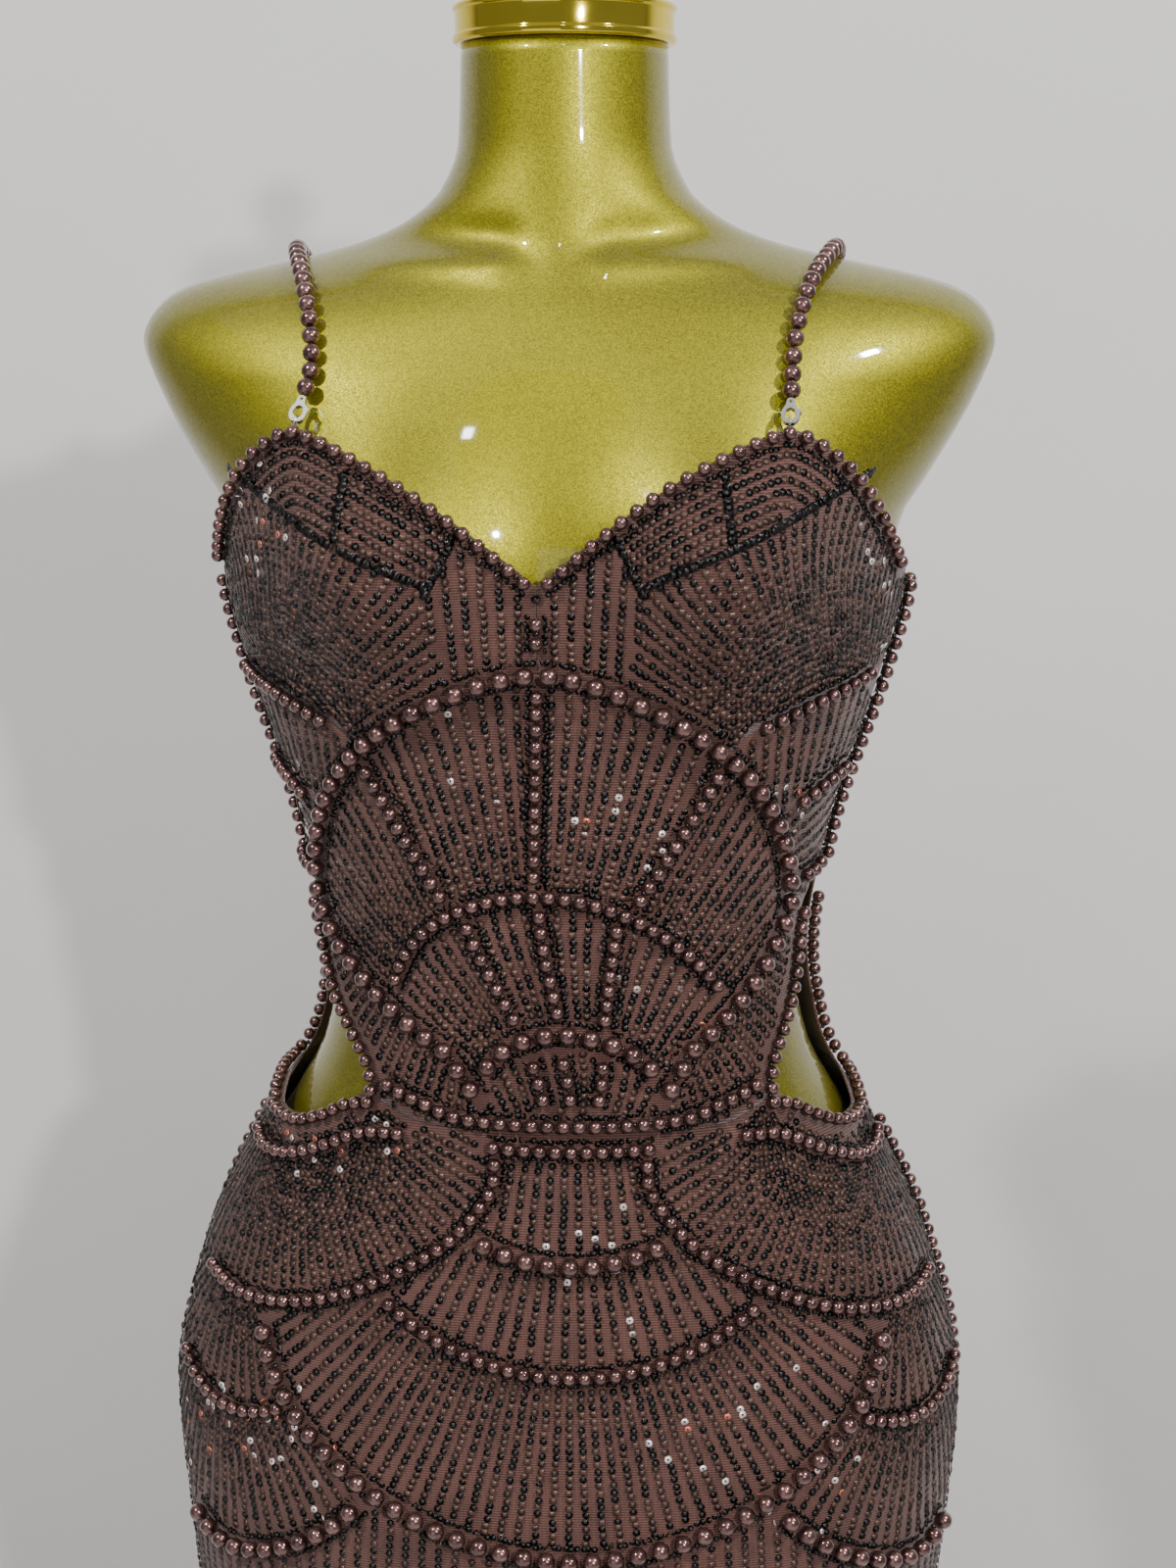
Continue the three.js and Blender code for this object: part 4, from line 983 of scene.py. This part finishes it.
def fan_out(centre, reach, turn, inside):
    """Lines at equal angles, LINE_GAP apart at the reach; every second one stops where they crowd."""
    step = LINE_GAP / reach
    theta = np.arange(np.radians(turn[0]) + step / 2, np.radians(turn[1]), step)
    radius = np.arange(8, reach, PITCH)
    line, radius = (grid.ravel() for grid in np.meshgrid(np.arange(len(theta)), radius, indexing="ij"))
    room = radius * step
    keep = ((line % 2 == 0) | (room > LEAST_GAP)) & ((line % 4 == 0) | (2 * room > LEAST_GAP))
    stray = rng.normal(0, 0.2, (2, len(line)))
    girth = centre[0] + radius * np.cos(theta[line]) + stray[0]
    height = centre[1] + radius * np.sin(theta[line]) + stray[1]
    keep &= inside(girth, height)
    return girth[keep], height[keep]


cells = {}
for name, (centre, reach, turn, inside) in fans.items():
    girth, height = fan_out(centre, reach, turn, inside)
    if centre[0] > 0 or name == "cup_middle":
        girth, height = np.concatenate([girth, -girth]), np.concatenate([height, height])
    seam = np.abs(angle_at(girth, height)) < np.where(height > 1040, BODICE_SIDE, SKIRT_SIDE) - 1
    keep = clear_of_rows(girth, height) & seam
    cells[name] = (girth[keep], height[keep])
    print(name, keep.sum(), "sequins")

# %% [markdown]
# ## The band along the neckline
# On each cup a band of sequin lines runs parallel to the neckline. Its lower edge and two short lines
# across it are sewn with larger sequins that overlap like shingles.

# %% Band lines and shingles
band_girth, band_height = [], []
for below in np.arange(10, 42, 4.8):
    line = evenly(along_edge(cup_top, 20, 186, below), PITCH)
    s, z = line[:, 0], line[:, 1]
    keep = on_cup(s, z) & ~cup_middle(s, z) & (z > band_edge(s) + 2.5) & clear_of_rows(s, z)
    band_girth.append(s[keep])
    band_height.append(z[keep])
s, z = np.concatenate(band_girth), np.concatenate(band_height)
cells["cup_band"] = (np.concatenate([s, -s]), np.concatenate([z, z]))

shingles = [
    evenly(np.array([[47, band_edge(47)], [150, band_edge(150)]]), 1.9),
    evenly(np.array([[47, 1266], [33, 1291]]), 1.9),
    evenly(np.array([[83, 1288], [77, 1314]]), 1.9),
]
s, z = np.concatenate(shingles).T
keep = clear_of_rows(s, z, 0.8)
s, z = s[keep], z[keep]
lay_sequins(
    "sequins_shingled", np.concatenate([s, -s]), np.concatenate([z, z]), size=2.1, tilt=0.3, lift=1.1,
    material=edging_foil,
)

groups = {
    "sequins_cups": ["cup_main", "cup_middle", "cup_band"],
    "sequins_oval": ["oval_upper", "oval_lower", "oval_foot"],
    "sequins_midriff_sides": ["side_upper", "side_middle", "side_lower"],
    "sequins_hips": ["hip_middle", "hip_band", "hip_fan"],
    "sequins_hip_sides": ["hip_side", "side_fan", "side_low_fan"],
}
for name, members in groups.items():
    s, z = (np.concatenate([cells[m][k] for m in members]) for k in (0, 1))
    lay_sequins(name, s, z)

# %% [markdown]
# ## Dark edging beside the pearls
# Along both sides of a pearl row lie tiny dark sequins, which make the rows stand out from the net.
# They follow the row at a fixed distance in the pattern, and are left out where the cloth ends.

# %% Edging lines
def on_cloth(s, z):
    """True where the front, the skirt or the back has cloth under a point."""
    angle = np.abs(angle_at(s, z))
    front = (z < cup_top(s) - 2) & (np.abs(s) < np.abs(front_edge(1, z)) - 2) & (z > skirt_top(s))
    back = (angle > back_edge_angle(z) + 1) & (z < back_top(angle) - 2)
    return front | (z < skirt_top(s) - 2) | back


edge_girth, edge_height = [], []
for name, (kind, angle, height) in placed.items():
    if name == "back_edge" or name.startswith("cutout"):
        continue
    line = np.stack([girth_at(angle, height), height], 1)
    line = evenly(line, 2.7)
    ahead = unit(np.gradient(line, axis=0))
    across = np.stack([-ahead[:, 1], ahead[:, 0]], 1)
    for side in (-1, 1):
        spot = line + side * (kind.size / 2 + 0.7) * across + rng.normal(0, 0.25, line.shape)
        spot = spot[on_cloth(spot[:, 0], spot[:, 1])]
        spot = spot[clear_of_rows(spot[:, 0], spot[:, 1], -0.4)]
        edge_girth.append(spot[:, 0])
        edge_height.append(spot[:, 1])
lay_sequins(
    "sequins_edging", np.concatenate(edge_girth), np.concatenate(edge_height), size=1.5, tilt=0.5, lift=1.0,
    sides=6, material=edging_foil,
)

# %% [markdown]
# ## Plain lines down the skirt and on the back
# Below the fans and all over the back, the lines simply follow the grain: each keeps its angle round
# the body and falls straight to the hem.

# %% Skirt and back lines
def falling(angle, top, bottom, pitch):
    """Every line keeps its angle, with a sequin each pitch from its top down to the bottom."""
    height = np.arange(bottom, 1300.0, pitch)
    angle_grid, height_grid = np.meshgrid(angle, height, indexing="ij")
    keep = height_grid < np.broadcast_to(np.asarray(top)[..., None], height_grid.shape)
    return angle_grid[keep], height_grid[keep]


reach = girth_at(SKIRT_SIDE, 850.0) - 4
line_girth = np.arange(-reach, reach + 1, 7.4)
line_angle = angle_at(line_girth, 850.0)
fan_foot = 946 - 94 * (1 - np.clip(np.abs(line_girth) / 141, 0, 1) ** 1.8) ** (1 / 1.8)
line_top = np.where(np.abs(line_girth) < 92, fan_foot, low_scallop(line_girth)) - 2
angle, height = falling(line_angle, line_top, HEM + 9, 3.45)
free = clear_of_rows(girth_at(angle, height), height)
lay_sequins("sequins_skirt_front", None, height[free], angle[free], sides=6, size=1.7)

rear = np.linspace(SKIRT_SIDE + 2.2, 179.1, 30)
for word, side in (("left", 1), ("right", -1)):
    angle, height = falling(side * rear, np.full(len(rear), WAIST - 6), HEM + 9, 3.6)
    lay_sequins(f"sequins_skirt_back_{word}", None, height, angle, sides=6, size=1.7)
rear = np.linspace(BODICE_SIDE + 4, 360 - BODICE_SIDE - 4, 41)
angle, height = falling(rear, back_top(180 - np.abs(180 - rear)) - 9, WAIST + 5, 3.6)
free = 180 - np.abs(180 - angle) > back_edge_angle(height) + 5
lay_sequins("sequins_bodice_back", None, height[free], angle[free], sides=6, size=1.7)

# %% [markdown]
# ## Straps and clasps
# Each strap is a strand of touching pearls that leaves its clasp straight, then lies over the shoulder.
# Its line is found by sending rays out of the middle of the shoulder and taking the last place that
# is still inside the form, found by halving, plus the strand's own radius.

# %% Thread the straps
STRAP = {"lift": 4.9, "front": 99, "shoulder": 118, "back": 78, "from": 25, "to": 225.5, "crest": 0.35}
SHOULDER = np.array([5.0, 1320.0])
NECK_TOP = 1490
STRAP_FOOT = 15.35


def skin_on_ray(x, lean):
    """Halves a 160 mm ray 24 times, keeping the half that crosses the skin."""
    near, far = np.zeros_like(x), np.full_like(x, 160.0)
    lean = np.radians(lean)

    def point(reach):
        return np.stack([x, SHOULDER[0] - reach * np.cos(lean), SHOULDER[1] + reach * np.sin(lean)], axis=-1)

    for _ in range(24):
        middle = (near + far) / 2
        spot = point(middle)
        angle = np.degrees(np.arctan2(spot[..., 0], -spot[..., 1]))
        skin = body_point(FORM, angle, spot[..., 2])
        inside = (np.hypot(*spot[..., :2].T) < np.hypot(*skin[..., :2].T)) & (spot[..., 2] < NECK_TOP)
        near, far = np.where(inside, middle, near), np.where(inside, far, middle)
    return point(far + STRAP["lift"])


for word, side in (("left", 1), ("right", -1)):
    share = np.linspace(0, 1, 23)
    crest = STRAP["crest"]
    across = STRAP["front"] + (STRAP["shoulder"] - STRAP["front"]) * ease(share, 0, crest)
    across = across + (STRAP["back"] - STRAP["shoulder"]) * ease(share, crest, 1)
    skin = skin_on_ray(side * across, STRAP["from"] + (STRAP["to"] - STRAP["from"]) * share)
    foot = gown_point(angle_at(side * STRAP_GIRTH, STRAP_TOP), STRAP_TOP, -0.8)
    start = foot + STRAP_FOOT * unit(skin[0] - foot)
    line = through(np.concatenate([start[None], skin]))
    places = evenly(line, LARGE.size)
    points, faces = copies(pearl_ball, places, LARGE.size / 2)
    make_piece(f"strand_strap_{word}", points, faces, pearl_paint, [f"strap_{word}"])
    for node in (f"clasp_{word}", f"clasp_ring_{word}"):
        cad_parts[node].data.materials[0] = silver_plate
print("pearls on a strap:", len(places))

# %% [markdown]
# ## The form
# A limbless display form, moulded and sprayed gold. The surface comes from its sections, its rows lie
# closer over the shoulders, where it turns quickly, and there each row is drawn ten times towards the
# mean of its neighbours, which rounds the turn. Two soft ridges are the collar bones.

# %% Mould the form
def closed_body(rings):
    """Rings of points from bottom to top, joined by squares."""
    count, around = rings.shape[:2]
    a = (np.arange(count - 1)[:, None] * around + np.arange(around)).ravel()
    b = (np.arange(count - 1)[:, None] * around + (np.arange(around) + 1) % around).ravel()
    sides = np.stack([a, b, b + around, a + around], 1)
    return rings.reshape(-1, 3), sides


def shrink_ends(rings, steps=(0.75, 0.5, 0.25, 0.004)):
    """Adds rings drawn in towards the middle of the first and the last ring, so both ends are closed."""
    first, last = rings[0], rings[-1]
    inward = [first.mean(0) + (first - first.mean(0)) * s for s in steps[::-1]]
    outward = [last.mean(0) + (last - last.mean(0)) * s for s in steps]
    return np.concatenate([inward, rings, outward])


around = np.arange(0, 360, 3.0)
levels = np.concatenate([np.linspace(745, 1350, 56), np.linspace(1353, 1430, 40), np.linspace(1436, 1490, 10)])
angle, height = np.meshgrid(around, levels)
skin = body_point(FORM, angle, height)
soft = skin.copy()
for _ in range(10):
    soft[1:-1] = (soft[:-2] + 2 * soft[1:-1] + soft[2:]) / 4
shoulder = ease(height, 1352, 1372) * (1 - ease(height, 1418, 1430))
skin = skin + shoulder[..., None] * (soft - skin)
x, cosine = skin[..., 0], np.cos(np.radians(angle))
bone_line = 1396 + 0.05 * np.abs(x)
window = ease(np.abs(x), 8, 26) * (1 - ease(np.abs(x), 72, 92)) * np.clip(2 * cosine, 0, 1)
ridge = np.exp(-(((height - bone_line) / 6) ** 2)) - 0.7 * np.exp(-(((height - bone_line - 13) / 7) ** 2))
skin[..., 1] -= 3.2 * window * ridge
points, faces = closed_body(shrink_ends(skin))
make_piece("form_body", points, faces, gold_flake, ["form_torso"])
print("form:", 2 * len(faces), "triangles")

# %% [markdown]
# ## Turned parts of the form and stand
# The neck cap and its knob are spun brass, the stand is turned steel. A turned part is a profile of
# radius and height carried once round the axis; its corners get small rounds so that they catch light.

# %% Turn the cap and the stand
def rounded(profile, size, steps=5):
    """Replaces each inner corner by a quadratic curve that starts and ends size away from it."""
    points = [profile[0]]
    for before, corner, after in zip(profile, profile[1:], profile[2:]):
        before, corner, after = (np.asarray(p, float) for p in (before, corner, after))
        r = min(size, 0.45 * np.linalg.norm(before - corner), 0.45 * np.linalg.norm(after - corner))
        a, b = corner + r * unit(before - corner), corner + r * unit(after - corner)
        t = np.linspace(0, 1, steps + 1)[:, None]
        points.extend((1 - t) ** 2 * a + 2 * t * (1 - t) * corner + t * t * b)
    points.append(profile[-1])
    return np.array(points, float)


def turned(name, profile, material, slot, nodes, size=1.0, around=96):
    """Point = radius × (sin, -cos) of the turn, at the profile's height."""
    line = rounded(profile, size)
    turn = np.arange(around) / around * 2 * np.pi
    radius, height = line[:, 0][:, None], line[:, 1][:, None]
    rings = np.stack([radius * np.sin(turn), -radius * np.cos(turn), height + 0 * turn], axis=-1)
    points, faces = closed_body(rings)
    return make_piece(name, points, faces, material, nodes)


TIP = 0.05
cap_low = NECK_TOP + SEAM_GAP
turned("cap_plate", [
    (TIP, cap_low), (46.5, cap_low), (48, cap_low + 1), (48, cap_low + 3.4), (47, cap_low + 4), (47, cap_low + 13.4),
    (48, cap_low + 14.2), (48, cap_low + 15.6), (46, cap_low + 17), (TIP, cap_low + 17),
], gold_plate, "gold_plate", ["form_neck_cap"], 0.7)
knob_low = cap_low + 17 + SEAM_GAP
ball_turn = np.radians(np.linspace(-50, 89.8, 18))
turned("knob_turned", [
    (TIP, knob_low), (13, knob_low), (13, knob_low + 2.5), (7, knob_low + 4.5), (7, knob_low + 10),
    *zip(15 * np.cos(ball_turn), knob_low + 23 + 15 * np.sin(ball_turn)),
], gold_plate, "gold_plate", ["form_knob"], 1.0, 64)
turned("base_plate", [
    (TIP, 0), (175, 0), (175, 6), (172, 9), (30, 12), (20, 15), (20, 34), (TIP, 34),
], stand_steel, "stand_steel", ["form_base"], 1.2)
turned("pole_tube", [
    (TIP, 34.3), (14, 34.3), (14, 718.4), (TIP, 718.4),
], stand_steel, "stand_steel", ["form_pole"], 0.8, 48)
turned("collar_flange", [
    (TIP, 718.7), (20, 718.7), (20, 738.7), (34, 738.7), (34, 744.7), (TIP, 744.7),
], stand_steel, "stand_steel", ["form_collar"], 0.9, 64)
print("turned parts: cap, knob, base, pole, collar")

# %% [markdown]
# ## Floor, light and camera
# A plain pale wall stands behind the gown. A small bare lamp at the front right throws the clear
# shadow to the left, three ceiling spots make the points of light on the gold and the pearls, and a
# wide ceiling panel, a wide lamp behind the camera and the sky fill the rest.
# The camera stands where the photographer stood: 1.1 m away, at the height of the shoulders.

# %% Studio
def stage_sheet(name, corners, material):
    mesh = bpy.data.meshes.new(name)
    mesh.from_pydata(corners, [], [(0, 1, 2, 3)])
    mesh.materials.append(material)
    sheet = bpy.data.objects.new(name, mesh)
    bpy.context.scene.collection.objects.link(sheet)


def wall_paint(name, dark, light, one_sided=False):
    """Plain paint; a one-sided wall lets through what looks at its rear, so that it never hides the gown."""
    board = Board(name)
    paint = board.finish(Base_Color=board.mix(board.noise(board.place(), 3.0), dark, light), Roughness=0.7)
    if one_sided:
        rear = board.node("ShaderNodeNewGeometry", output="Backfacing")
        clear = board.node("ShaderNodeBsdfTransparent")
        seen = board.node("ShaderNodeMixShader", None, rear, Value(board, board.surface.outputs[0]), clear)
        board.put(board.tree.nodes["Material Output"].inputs["Surface"], seen)
    return paint


WALL_Y, WALL_TOP, REACH = 0.62, 4.0, 5.0
floor_paint = wall_paint("floor_paint", colour(206, 204, 203), colour(216, 214, 213))
back_paint = wall_paint("back_paint", colour(196, 194, 192), colour(206, 204, 202), True)
wall_foot = [(REACH, WALL_Y, 0), (-REACH, WALL_Y, 0)]
stage_sheet("floor", [(-REACH, -REACH, 0), (REACH, -REACH, 0), *wall_foot], floor_paint)
stage_sheet("backdrop", [*wall_foot[::-1], (REACH, WALL_Y, WALL_TOP), (-REACH, WALL_Y, WALL_TOP)], back_paint)


def lamp(name, place, aim, wide, tall, watts, tint=(1, 1, 1)):
    """A rectangular lamp whose -Z axis points at the aim."""
    data = bpy.data.lights.new(name, "AREA")
    data.shape, data.size, data.size_y, data.energy, data.color = "RECTANGLE", wide, tall, watts, tint
    made = bpy.data.objects.new(name, data)
    bpy.context.scene.collection.objects.link(made)
    made.location = place
    away = np.array(place, float) - np.array(aim, float)
    made.rotation_euler = (math.atan2(math.hypot(away[0], away[1]), away[2]), 0, math.atan2(away[0], -away[1]))


CHEST = (0, 0, 1.2)
lamp("key_light", (0.8, -2.0, 1.79), CHEST, 0.07, 0.07, 36)
lamp("spot_left", (-1.1, -1.25, 2.6), CHEST, 0.1, 0.1, 36)
lamp("spot_middle", (0.12, -1.9, 2.8), CHEST, 0.1, 0.1, 3)
lamp("spot_right", (1.3, -0.9, 2.6), CHEST, 0.1, 0.1, 32)
lamp("ceiling", (0, -0.6, 2.9), CHEST, 3.4, 2.0, 6)
lamp("fill_light", (-0.9, -2.6, 0.8), CHEST, 2.0, 1.6, 8)
lamp("rear_light", (0.5, 3.0, 2.2), CHEST, 2.0, 1.5, 14)
world = bpy.data.worlds.new("studio_air")
bpy.context.scene.world = world
world.use_nodes = True
world.node_tree.nodes["Background"].inputs["Color"].default_value = (0.74, 0.74, 0.73, 1)
world.node_tree.nodes["Background"].inputs["Strength"].default_value = 0.32

camera_data = bpy.data.cameras.new("camera")
camera_data.lens, camera_data.sensor_width = 56.9, 36
camera = bpy.data.objects.new("camera", camera_data)
bpy.context.scene.collection.objects.link(camera)
camera.location = (0.0959, -1.0958, 1.373)
camera.rotation_euler = (math.radians(79.5), 0, math.radians(4.48))
bpy.context.scene.camera = camera
